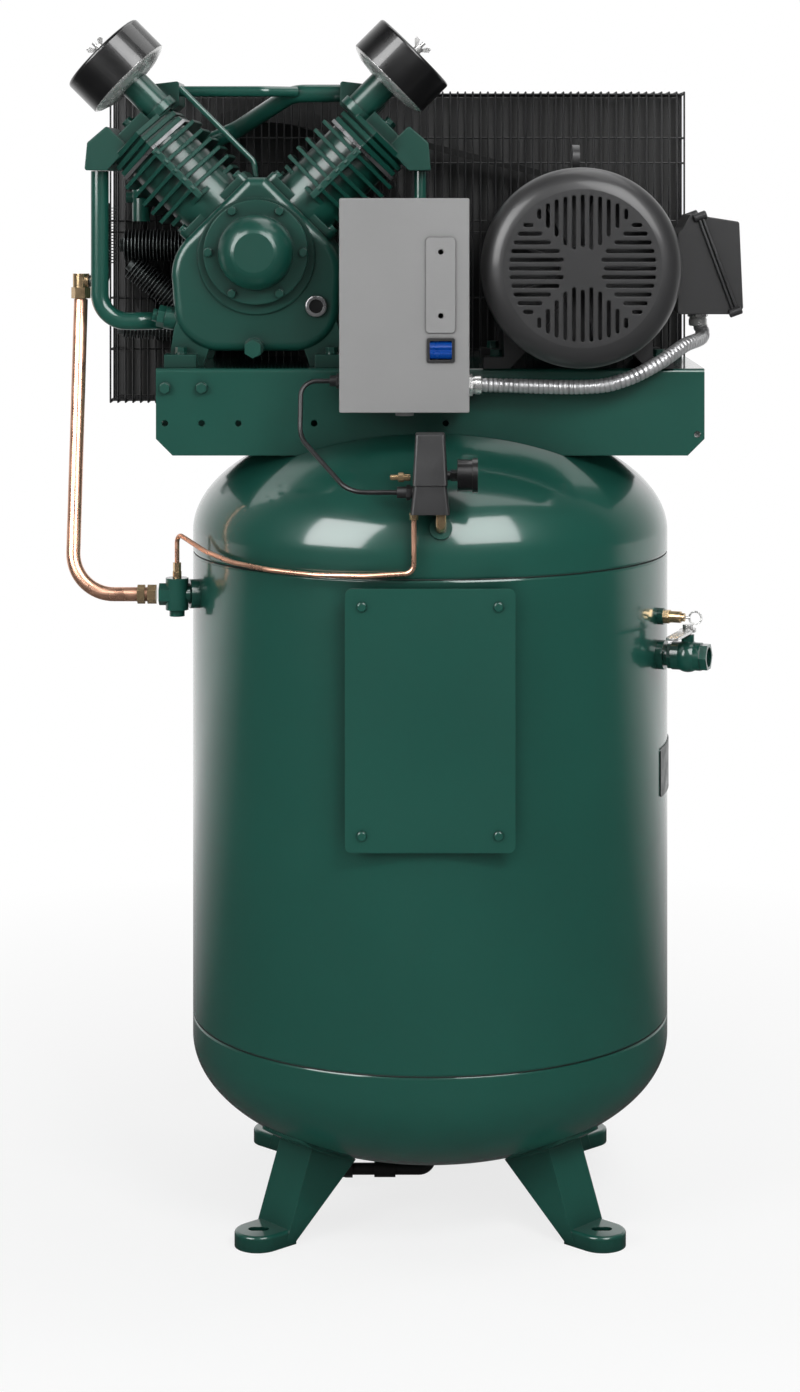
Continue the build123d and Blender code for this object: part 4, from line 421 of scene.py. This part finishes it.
def sweep_tube(builder, path, radius_at, sides=28):
    """Closed tube round a path; radius_at(length) gives its radius."""
    tangent = (path[1] - path[0]).normalized()
    side = tangent.orthogonal().normalized()
    travelled = 0.0
    rings = []
    for k, point in enumerate(path):
        ahead = path[min(k + 1, len(path) - 1)] - path[max(k - 1, 0)]
        fresh = ahead.normalized()
        side = (side - fresh * side.dot(fresh)).normalized()
        other = fresh.cross(side)
        if k:
            travelled += (point - path[k - 1]).length
        radius = radius_at(travelled)
        ring = []
        for j in range(sides):
            turn = 2 * math.pi * j / sides
            spoke = side * math.cos(turn) + other * math.sin(turn)
            ring.append(builder.verts.new(point + spoke * radius))
        rings.append(ring)
    for first, second in zip(rings, rings[1:]):
        join_rings(builder, first, second)
    builder.faces.new(rings[0][::-1])
    builder.faces.new(rings[-1])


# ---------------------------------------------------------------- receiver
SHELL_R = 0.381
SHELL_WALL = 0.005
DOME = 0.185
LOWER_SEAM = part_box("tank_shell")[0].z
UPPER_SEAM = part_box("tank_shell")[1].z
STRAIGHT = 0.033
GROOVE = 0.0022
GROOVE_HALF = 0.0034
GROOVE_MARGIN = 0.0048
RINGS = 256


def head_profile(seam, direction):
    """Closed profile of a pressed head: straight skirt, elliptical dome and wall thickness."""
    tangent = seam + direction * STRAIGHT
    steps = 60
    turns = [math.pi / 2 * k / steps for k in range(steps)]
    outer = [
        (SHELL_R - GROOVE, seam),
        (SHELL_R, seam + direction * GROOVE_HALF),
        (SHELL_R, seam + direction * GROOVE_MARGIN),
    ]
    inner_r = SHELL_R - SHELL_WALL
    inner_dome = DOME - SHELL_WALL

    def dome_points(radius, rise):
        return [(radius * math.cos(turn), tangent + direction * rise * math.sin(turn)) for turn in turns]

    top = [(0, tangent + direction * DOME), (0, tangent + direction * inner_dome)]
    outer += dome_points(SHELL_R, DOME)
    inner = dome_points(inner_r, inner_dome)[::-1]
    return outer + top + inner + [(inner_r, seam)]


def build_receiver():
    """Shell and heads as finely turned meshes that meet in two weld grooves."""
    shell_profile = [
        (SHELL_R - GROOVE, LOWER_SEAM),
        (SHELL_R, LOWER_SEAM + GROOVE_HALF),
        (SHELL_R, LOWER_SEAM + GROOVE_MARGIN),
        (SHELL_R, UPPER_SEAM - GROOVE_MARGIN),
        (SHELL_R, UPPER_SEAM - GROOVE_HALF),
        (SHELL_R - GROOVE, UPPER_SEAM),
        (SHELL_R - SHELL_WALL, UPPER_SEAM),
        (SHELL_R - SHELL_WALL, LOWER_SEAM),
    ]
    for name, node, profile in (
        ("receiver_shell", "tank_shell", shell_profile),
        ("receiver_top_head", "tank_top_head", head_profile(UPPER_SEAM, 1)),
        ("receiver_bottom_head", "tank_bottom_head", head_profile(LOWER_SEAM, -1)),
    ):
        builder = bmesh.new()
        lathe(builder, profile, RINGS)
        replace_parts(mesh_object(name, builder, "green_paint"), node)


def build_weld_beads():
    """A rippled bead in each seam groove, dark with painted shade."""
    bead_radius = 0.0014
    ripple = 0.0002
    radians_per_metre = 900
    points = 720
    ring_radius = SHELL_R - GROOVE
    shade = seam_painted_shade()

    def rippled(run):
        return bead_radius + ripple * math.sin(radians_per_metre * run)

    for name, height in (("upper_seam_bead", UPPER_SEAM), ("lower_seam_bead", LOWER_SEAM)):
        builder = bmesh.new()
        path = []
        for k in range(points + 1):
            turn = 2 * math.pi * k / points
            path.append(Vector((ring_radius * math.cos(turn), ring_radius * math.sin(turn), height)))
        sweep_tube(builder, path, rippled, sides=8)
        bead = mesh_object(name, builder, "green_paint", smooth=80)
        # Painted shade: the bead takes the dark colour of the groove's shadow.
        bead.data.materials[0] = shade


# ---------------------------------------------------------------- belt guard
GUARD_FRONT = 0.178
WIRE = 0.0016
WIRE_PITCH = 0.0127
ROW_HEIGHTS = (1.345, 1.431, 1.541, 1.560, 1.657, 1.699)
SIDE_ROW_PITCH = 0.028
PUMP_OPENING = 0.072
MOTOR_OPENING = 0.056
SHEET = 0.0008
RIB = 0.0016


def middle_of(node_name):
    """Middle of a node's box."""
    low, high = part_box(node_name)
    return (low + high) / 2


def build_guard():
    """Welded wire cage: hoops across the depth, rows round the sides, rings at the shafts."""
    low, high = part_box("belt_guard")
    openings = ((middle_of("flywheel"), PUMP_OPENING), (middle_of("sheave"), MOTOR_OPENING))
    holes = [(middle.x, middle.z, size) for middle, size in openings]
    curve = bpy.data.curves.new("guard_wires", "CURVE")
    curve.dimensions = "3D"
    curve.bevel_depth = WIRE
    curve.bevel_resolution = 2
    curve.use_fill_caps = True

    def wire(points, closed=False):
        spline = curve.splines.new("POLY")
        spline.points.add(len(points) - 1)
        for slot_point, point in zip(spline.points, points):
            slot_point.co = (*point, 1)
        spline.use_cyclic_u = closed

    def front_spans(fixed, low_end, high_end, upright):
        """Parts of a straight front wire that stay outside the shaft openings."""
        cuts = []
        for x, z, size in holes:
            offset = fixed - (x if upright else z)
            if abs(offset) < size:
                half = math.sqrt(size**2 - offset**2)
                middle = z if upright else x
                cuts.append((middle - half, middle + half))
        spans = []
        start = low_end
        for cut_low, cut_high in sorted(cuts):
            spans.append((start, cut_low))
            start = cut_high
        spans.append((start, high_end))
        return spans

    x_low = low.x + WIRE
    x_high = high.x - WIRE
    y_front = GUARD_FRONT + WIRE
    y_back = high.y - WIRE
    z_low = low.z + WIRE
    z_high = high.z - WIRE
    columns = round((high.x - low.x) / WIRE_PITCH)
    for k in range(columns + 1):
        x = x_low + (x_high - x_low) * k / columns
        for start, end in front_spans(x, z_low, z_high, True):
            wire([(x, y_front, start), (x, y_front, end)])
        wire([(x, y_front, z_low), (x, y_back, z_low), (x, y_back, z_high), (x, y_front, z_high)])
    lift = 2 * WIRE
    row_front = y_front + lift
    row_back = y_back - lift
    for z in (z_low + lift, *ROW_HEIGHTS, z_high - lift):
        for start, end in front_spans(z, x_low, x_high, False):
            wire([(start, row_front, z), (end, row_front, z)])
        corners = ((x_low, row_front), (x_low, row_back), (x_high, row_back), (x_high, row_front))
        wire([(x, y, z) for x, y in corners])
    for k in (1, 2, 3):
        y = GUARD_FRONT + SIDE_ROW_PITCH * k
        for z in (z_low + lift, z_high - lift):
            wire([(x_low, y, z), (x_high, y, z)])
        for x in (x_low + lift, x_high - lift):
            wire([(x, y, z_low), (x, y, z_high)])
    for x, z, size in holes:
        ring = circle_points(Vector((x, y_front, z)), Vector((0, 1, 0)), size, 48)
        wire(ring, closed=True)
    guard = bpy.data.objects.new("guard_cage", curve)
    bpy.context.scene.collection.objects.link(guard)
    dress(guard, "black_wire")
    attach(guard, ROOT)
    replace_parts(guard, "belt_guard")


def build_guard_shade_sheet():
    """Thin ribbed black sheet that closes the back of the cage: painted shade for the dark inside of the
    guard.
    """
    low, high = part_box("belt_guard")
    side_margin = 0.0045
    end_margin = 0.0065
    left = low.x + side_margin
    right = high.x - side_margin
    bottom = low.z + end_margin
    top = high.z - end_margin
    back = high.y - 0.0055
    builder = bmesh.new()
    count = 2 * round((right - left) / WIRE_PITCH)
    sections = []
    for k in range(count + 1):
        x = left + (right - left) * k / count
        y = back - RIB if k // 2 % 2 else back
        corners = ((y, bottom), (y - SHEET, bottom), (y - SHEET, top), (y, top))
        sections.append([builder.verts.new((x, depth, z)) for depth, z in corners])
    for first, second in zip(sections, sections[1:]):
        join_rings(builder, first, second)
    builder.faces.new(sections[0][::-1])
    builder.faces.new(sections[-1])
    # Painted shade: a black sheet behind the wires darkens the inside of the cage.
    mesh_object("guard_shade_sheet", builder, "black_iron", smooth=20)


# ---------------------------------------------------------------- filters, sight glass, gauge
PUMP_X = -0.273
FILTER_REACH = 0.2072
FILTER_Y = -0.060
FILTER_Z = 1.7891
DISH_RIM = 0.0739
DISH_BORE = 0.0215


def build_filter_dishes():
    """Bright pressed dishes that close the intake filters from below."""
    underside = [(DISH_BORE, -0.0125), (0.030, -0.0135), (0.052, -0.0105), (0.068, -0.005)]
    rim = [(0.0736, -0.0012), (DISH_RIM, -0.0002), (0.0715, -0.0006)]
    inside = [(0.060, -0.0045), (0.030, -0.010), (DISH_BORE, -0.010)]
    for name, lean in (("left_filter_dish", -1), ("right_filter_dish", 1)):
        builder = bmesh.new()
        lathe(builder, underside + rim + inside, 96)
        origin = Vector((PUMP_X + lean * FILTER_REACH, FILTER_Y, FILTER_Z))
        aim_builder(builder, origin, Vector((lean, 0, 1)).normalized())
        mesh_object(name, builder, "zinc")


def build_sight_window():
    """Dark oil behind the sight glass."""
    builder = bmesh.new()
    profile = [(0, -0.0006), (0.0116, -0.0006), (0.0120, -0.0002), (0.0116, 0.0006), (0, 0.0008)]
    lathe(builder, profile, 64)
    middle = middle_of("sight_glass_bezel")
    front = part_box("sight_glass_bezel")[0].y
    aim_builder(builder, Vector((middle.x, front + 0.0034, middle.z)), Vector((0, -1, 0)))
    mesh_object("sight_window", builder, "black_gloss")


def build_gauge_bezel():
    """Bright ring round the gauge's glass."""
    wire_radius = 0.0022
    low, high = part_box("gauge_case")
    middle = middle_of("gauge_case")
    center = Vector((high.x - wire_radius, middle.y, middle.z))
    ring_radius = (high.z - low.z) / 2 - wire_radius
    path = circle_points(center, Vector((1, 0, 0)), ring_radius, 96)
    path.append(path[0])
    builder = bmesh.new()
    sweep_tube(builder, path, lambda run: wire_radius, sides=12)
    mesh_object("gauge_bezel", builder, "zinc")


# ---------------------------------------------------------------- terminal box lid seam
LID_TOP_X = 0.4185
LID_BOTTOM_X = 0.4765
FLANGE_PROUD = 0.0042
FLANGE_GAP = 0.0006
FLANGE_OUTER = 0.0052
BOSS_HALF = [(0.0066, 0.009), (0.0052, 0.0105), (0, 0.0105)]
BOSS_PROFILE = [(radius, -height) for radius, height in BOSS_HALF[::-1]] + BOSS_HALF


def build_flange(name, start, end, across, near, far):
    """Thin slab along the slanting line from start to end, from near to far across it."""
    low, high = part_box("motor_terminal_box")
    builder = bmesh.new()
    rings = []
    for y in (low.y - FLANGE_PROUD, high.y + FLANGE_PROUD):
        corners = (start + across * near, start + across * far, end + across * far, end + across * near)
        rings.append([builder.verts.new((corner.x, y, corner.z)) for corner in corners])
    join_rings(builder, *rings)
    builder.faces.new(rings[0])
    builder.faces.new(rings[1][::-1])
    flange = mesh_object(name, builder, "motor_paint", smooth=30)
    bevel = flange.modifiers.new("soft_edges", "BEVEL")
    bevel.width = 0.0014
    bevel.segments = 3


def build_lid_seam():
    """Raised double flange where the terminal box's lid meets its base, with a boss at each end."""
    low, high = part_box("motor_terminal_box")
    start = Vector((LID_TOP_X, 0, high.z + 0.0005))
    end = Vector((LID_BOTTOM_X, 0, low.z - 0.0005))
    along = (end - start).normalized()
    across = Vector((-along.z, 0, along.x))
    build_flange("lid_flange_base", start, end, across, -FLANGE_OUTER, -FLANGE_GAP)
    build_flange("lid_flange_cover", start, end, across, FLANGE_GAP, FLANGE_OUTER)
    for level, middle in (("top", start + along * 0.004), ("bottom", end - along * 0.005)):
        for side, y in (("front", low.y - 0.001), ("back", high.y + 0.001)):
            builder = bmesh.new()
            lathe(builder, BOSS_PROFILE, 32)
            aim_builder(builder, Vector((middle.x, y, middle.z)), across)
            mesh_object(f"lid_boss_{level}_{side}", builder, "motor_paint", smooth=35)


# ---------------------------------------------------------------- flexible conduit
ENTRY_Y = -0.205
ENTRY_Z = 1.311
DROP_X = 0.423
DROP_Y = -0.090
STRIP_PITCH = 0.0078
STRIP_VALLEY = 0.0098
STRIP_RIDGE = 0.0014
CONDUIT_BORE = 0.0108
FITTING_NUT = 0.0168
FITTING_NUT_FLAT = 0.0150
FITTING_SIDES = 36


def strip_radius(run):
    """Radius of the wound strip: one rounded ridge per turn."""
    phase = (run / STRIP_PITCH) % 1.0
    return STRIP_VALLEY + STRIP_RIDGE * min(1.0, 1.4 * 4 * phase * (1 - phase))


def build_fitting(name, origin, direction):
    """Conduit connector: threaded neck, hexagon nut and sleeve along a direction."""
    neck = [(-0.008, CONDUIT_BORE), (0, CONDUIT_BORE)]
    nut = [(0, FITTING_NUT), (0.006, FITTING_NUT), (0.007, 0.0135)]
    sleeve = [(0.010, 0.0135), (0.010, 0.0145), (0.019, 0.0145), (0.021, 0.0125), (0.021, CONDUIT_BORE)]
    side = direction.orthogonal().normalized()
    other = direction.cross(side)
    builder = bmesh.new()
    rings = []
    for run, radius in neck + nut + sleeve:
        ring = []
        for k in range(FITTING_SIDES):
            turn = 2 * math.pi * k / FITTING_SIDES
            reach = radius
            if radius == FITTING_NUT:
                from_flat = (turn + math.pi / 6) % (math.pi / 3) - math.pi / 6
                reach = FITTING_NUT_FLAT / math.cos(from_flat)
            spoke = side * math.cos(turn) + other * math.sin(turn)
            ring.append(builder.verts.new(origin + direction * run + spoke * reach))
        rings.append(ring)
    for first, second in zip(rings, rings[1:] + rings[:1]):
        join_rings(builder, first, second)
    mesh_object(name, builder, "zinc", smooth=30)


def build_conduit():
    """Interlocked metal strip conduit between the starter box and the terminal box."""
    entry = Vector((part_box("control_box_cover")[1].x, ENTRY_Y, ENTRY_Z))
    drop = Vector((DROP_X, DROP_Y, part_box("motor_terminal_box")[0].z))
    points = [
        entry + Vector((0.012, 0, 0)),
        entry + Vector((0.026, 0, 0)),
        (0.240, ENTRY_Y, 1.308),
        (0.300, -0.204, 1.319),
        (0.352, -0.190, 1.343),
        (0.396, -0.152, 1.369),
        drop + Vector((0.006, -0.010, -0.037)),
        drop + Vector((0, 0, -0.008)),
    ]
    path = smooth_path(points, (1, 0, 0), (0, 0, 1), step=0.0007)
    builder = bmesh.new()
    sweep_tube(builder, path, strip_radius, sides=32)
    conduit = mesh_object("flexible_conduit", builder, "conduit_metal", smooth=60)
    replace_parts(conduit, "motor_conduit")
    build_fitting("box_conduit_fitting", entry, Vector((1, 0, 0)))
    build_fitting("terminal_conduit_fitting", drop, Vector((0, 0, -1)))


# ---------------------------------------------------------------- gauge dial
DIAL_RADIUS = 0.0216
DIAL_THICKNESS = 0.0006
DIAL_DEPTH = 0.0028
SCALE_STEPS = 40
LONG_EVERY = 5
SCALE_OUTER = 0.0195
TICK_LIFT = 0.00025


def build_dial():
    """White dial behind the needle, with a scale of raised ticks over 270 degrees."""
    middle = middle_of("gauge_case")
    face_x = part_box("gauge_needle")[0].x - DIAL_DEPTH
    forward = Vector((1, 0, 0))
    builder = bmesh.new()
    rings = []
    for x in (face_x, face_x + DIAL_THICKNESS):
        points = circle_points(Vector((x, middle.y, middle.z)), forward, DIAL_RADIUS, 72)
        rings.append([builder.verts.new(point) for point in points])
    join_rings(builder, *rings)
    builder.faces.new(rings[0])
    builder.faces.new(rings[1][::-1])
    dial = mesh_object("gauge_dial", builder, "data_plate")
    dial.data.materials[0] = dial_ink()
    builder = bmesh.new()
    origin = Vector((face_x + DIAL_THICKNESS, middle.y, middle.z))
    for k in range(SCALE_STEPS + 1):
        turn = math.radians(-45 + 270 * k / SCALE_STEPS)
        start, half = (0.0150, 0.0004) if k % LONG_EVERY == 0 else (0.0172, 0.0002)
        radial = Vector((0, math.cos(turn), math.sin(turn)))
        across = forward.cross(radial) * half
        inner = origin + radial * start
        outer = origin + radial * SCALE_OUTER
        base = [inner - across, outer - across, outer + across, inner + across]
        low_ring = [builder.verts.new(point) for point in base]
        high_ring = [builder.verts.new(point + forward * TICK_LIFT) for point in base]
        builder.faces.new(low_ring)
        builder.faces.new(high_ring[::-1])
        join_rings(builder, low_ring, high_ring)
    mesh_object("gauge_scale", builder, "black_plastic")


build_receiver()
build_weld_beads()
build_guard()
build_guard_shade_sheet()
build_filter_dishes()
build_sight_window()
build_gauge_bezel()
build_lid_seam()
build_conduit()
build_dial()


# ---------------------------------------------------------------- stage, light, camera
WHITE = (1, 1, 1)


def stage_material():
    """Matt floor that looks white, keeps soft shadows near the machine, and mirrors dark in front."""
    material, tree = new_material("studio_floor")
    tone = mix_color(tree, noise(tree, scale=5), (0.84, 0.84, 0.84), (0.88, 0.88, 0.88))
    grain = bump(tree, noise(tree, scale=300, detail=3), 0.1, 0.0002)
    matt = principled(tree, Base_Color=tone, Roughness=0.8, Normal=grain)
    path = tree.nodes.new("ShaderNodeLightPath")
    place = tree.nodes.new("ShaderNodeTexCoord")
    reach = tree.nodes.new("ShaderNodeVectorMath")
    reach.operation = "LENGTH"
    tree.links.new(place.outputs["Object"], reach.inputs[0])
    whiteness = remap(tree, reach.outputs["Value"], 0.7, 2.2, 0.78, 1.0)
    glow = tree.nodes.new("ShaderNodeEmission")
    seen = tree.nodes.new("ShaderNodeMixShader")
    tree.links.new(multiply(tree, path.outputs["Is Camera Ray"], whiteness), seen.inputs["Fac"])
    tree.links.new(matt.outputs["BSDF"], seen.inputs[1])
    tree.links.new(glow.outputs["Emission"], seen.inputs[2])
    split = tree.nodes.new("ShaderNodeSeparateXYZ")
    tree.links.new(place.outputs["Object"], split.inputs[0])
    behind = remap(tree, split.outputs["Y"], 0.6, 3.0, 0, 1)
    mirrored = tree.nodes.new("ShaderNodeEmission")
    mirrored_tone = mix_color(tree, behind, (0.06, 0.06, 0.06), (0.9, 0.9, 0.9))
    tree.links.new(mirrored_tone, mirrored.inputs["Color"])
    whole = tree.nodes.new("ShaderNodeMixShader")
    tree.links.new(path.outputs["Is Glossy Ray"], whole.inputs["Fac"])
    tree.links.new(seen.outputs["Shader"], whole.inputs[1])
    tree.links.new(mirrored.outputs["Emission"], whole.inputs[2])
    tree.links.new(whole.outputs["Shader"], tree.nodes["Material Output"].inputs["Surface"])
    return material


def build_stage():
    """Round pale floor just under the feet."""
    floor_radius = 14
    builder = bmesh.new()
    bmesh.ops.create_circle(builder, cap_ends=True, segments=96, radius=floor_radius)
    mesh = bpy.data.meshes.new("studio_floor")
    builder.to_mesh(mesh)
    builder.free()
    floor = bpy.data.objects.new("studio_floor", mesh)
    floor.location.z = -0.0006
    mesh.materials.append(stage_material())
    bpy.context.scene.collection.objects.link(floor)


def build_world():
    """White to the camera, soft grey light, and in reflections dark in front and white behind."""
    world = bpy.data.worlds.new("studio")
    world.use_nodes = True
    bpy.context.scene.world = world
    tree = world.node_tree
    path = tree.nodes.new("ShaderNodeLightPath")
    direction = tree.nodes.new("ShaderNodeTexCoord")
    split = tree.nodes.new("ShaderNodeSeparateXYZ")
    tree.links.new(direction.outputs["Generated"], split.inputs[0])
    behind = remap(tree, split.outputs["Y"], 0.15, 0.85, 0, 1)
    mirrored = mix_color(tree, behind, (0.055, 0.055, 0.055), (0.95, 0.95, 0.95))
    unseen = mix_color(tree, path.outputs["Is Glossy Ray"], (0.2, 0.2, 0.2), mirrored)
    sky = mix_color(tree, path.outputs["Is Camera Ray"], unseen, WHITE)
    tree.links.new(sky, tree.nodes["Background"].inputs["Color"])


def softbox(name, direction, distance, size, power, target, mirrored=True, lit=True):
    """Area light; mirrored: reflections show it, lit: matt surfaces are lit by it."""
    data = bpy.data.lights.new(name, "AREA")
    data.shape = "RECTANGLE"
    data.size, data.size_y = size
    data.energy = power
    light = bpy.data.objects.new(name, data)
    aim = Vector(target)
    light.location = aim + Vector(direction).normalized() * distance
    light.rotation_mode = "QUATERNION"
    light.rotation_quaternion = (light.location - aim).to_track_quat("Z", "Y")
    light.visible_camera = False
    light.visible_glossy = mirrored
    light.visible_diffuse = lit
    bpy.context.scene.collection.objects.link(light)


CAMERA_STATION = (0.0, -4.625, 1.606)
CAMERA_LENS = 74.2
LENS_SHIFT = (-0.0217, -0.361)
STATION_REACH = 0.05


def build_camera():
    """Level camera with a lens shift that falls to zero away from the camera's own station."""
    data = bpy.data.cameras.new("camera")
    data.sensor_width = 36
    data.lens = CAMERA_LENS
    data.clip_end = 60
    camera = bpy.data.objects.new("camera", data)
    camera.location = CAMERA_STATION
    camera.rotation_euler = (math.radians(90), 0, 0)
    bpy.context.scene.collection.objects.link(camera)
    bpy.context.scene.camera = camera
    station = bpy.data.objects.new("camera_station", None)
    station.location = CAMERA_STATION
    bpy.context.scene.collection.objects.link(station)
    for attribute, amount in zip(("shift_x", "shift_y"), LENS_SHIFT):
        curve = data.driver_add(attribute)
        curve.driver.type = "SUM"
        distance = curve.driver.variables.new()
        distance.type = "LOC_DIFF"
        distance.targets[0].id = camera
        distance.targets[1].id = station
        for modifier in list(curve.modifiers):
            curve.modifiers.remove(modifier)
        curve.keyframe_points.clear()
        curve.extrapolation = "CONSTANT"
        for reach, shift in ((0, amount), (STATION_REACH, 0)):
            curve.keyframe_points.insert(reach, shift).interpolation = "CONSTANT"


build_stage()
build_world()
LEFT_SHOULDER = (-0.14, -0.35, 1.09)
RIGHT_SHOULDER = (0.08, -0.36, 1.10)
MACHINE = (0, 0, 1.0)
PUMP = (0, 0, 1.5)
KEY_SIZE = (1.5, 0.8)
GLOSS_SIZE = (1.9, 2.5)
EDGE_SIZE = (0.8, 3.0)
softbox("left_key", (-0.694, -0.637, 0.334), 3.8, KEY_SIZE, 46, LEFT_SHOULDER, mirrored=False)
softbox("right_key", (0.381, -0.688, 0.618), 3.8, KEY_SIZE, 70, RIGHT_SHOULDER, mirrored=False)
softbox("left_gloss", (-0.694, -0.637, 0.52), 3.3, GLOSS_SIZE, 150, LEFT_SHOULDER, lit=False)
softbox("right_gloss", (0.381, -0.688, 0.618), 3.3, GLOSS_SIZE, 130, RIGHT_SHOULDER, lit=False)
softbox("front_fill", (0.1, -1, 0.25), 6.0, (4.0, 3.0), 80, MACHINE, mirrored=False)
softbox("left_edge", (-1, 0.35, 0.2), 3.0, EDGE_SIZE, 18, MACHINE, mirrored=False)
softbox("right_edge", (1, 0.3, 0.25), 3.0, EDGE_SIZE, 18, MACHINE, mirrored=False)
softbox("top_light", (0.3, 0.2, 1), 3.2, (3.0, 2.0), 40, PUMP)
bpy.context.scene.view_settings.view_transform = "Standard"
build_camera()
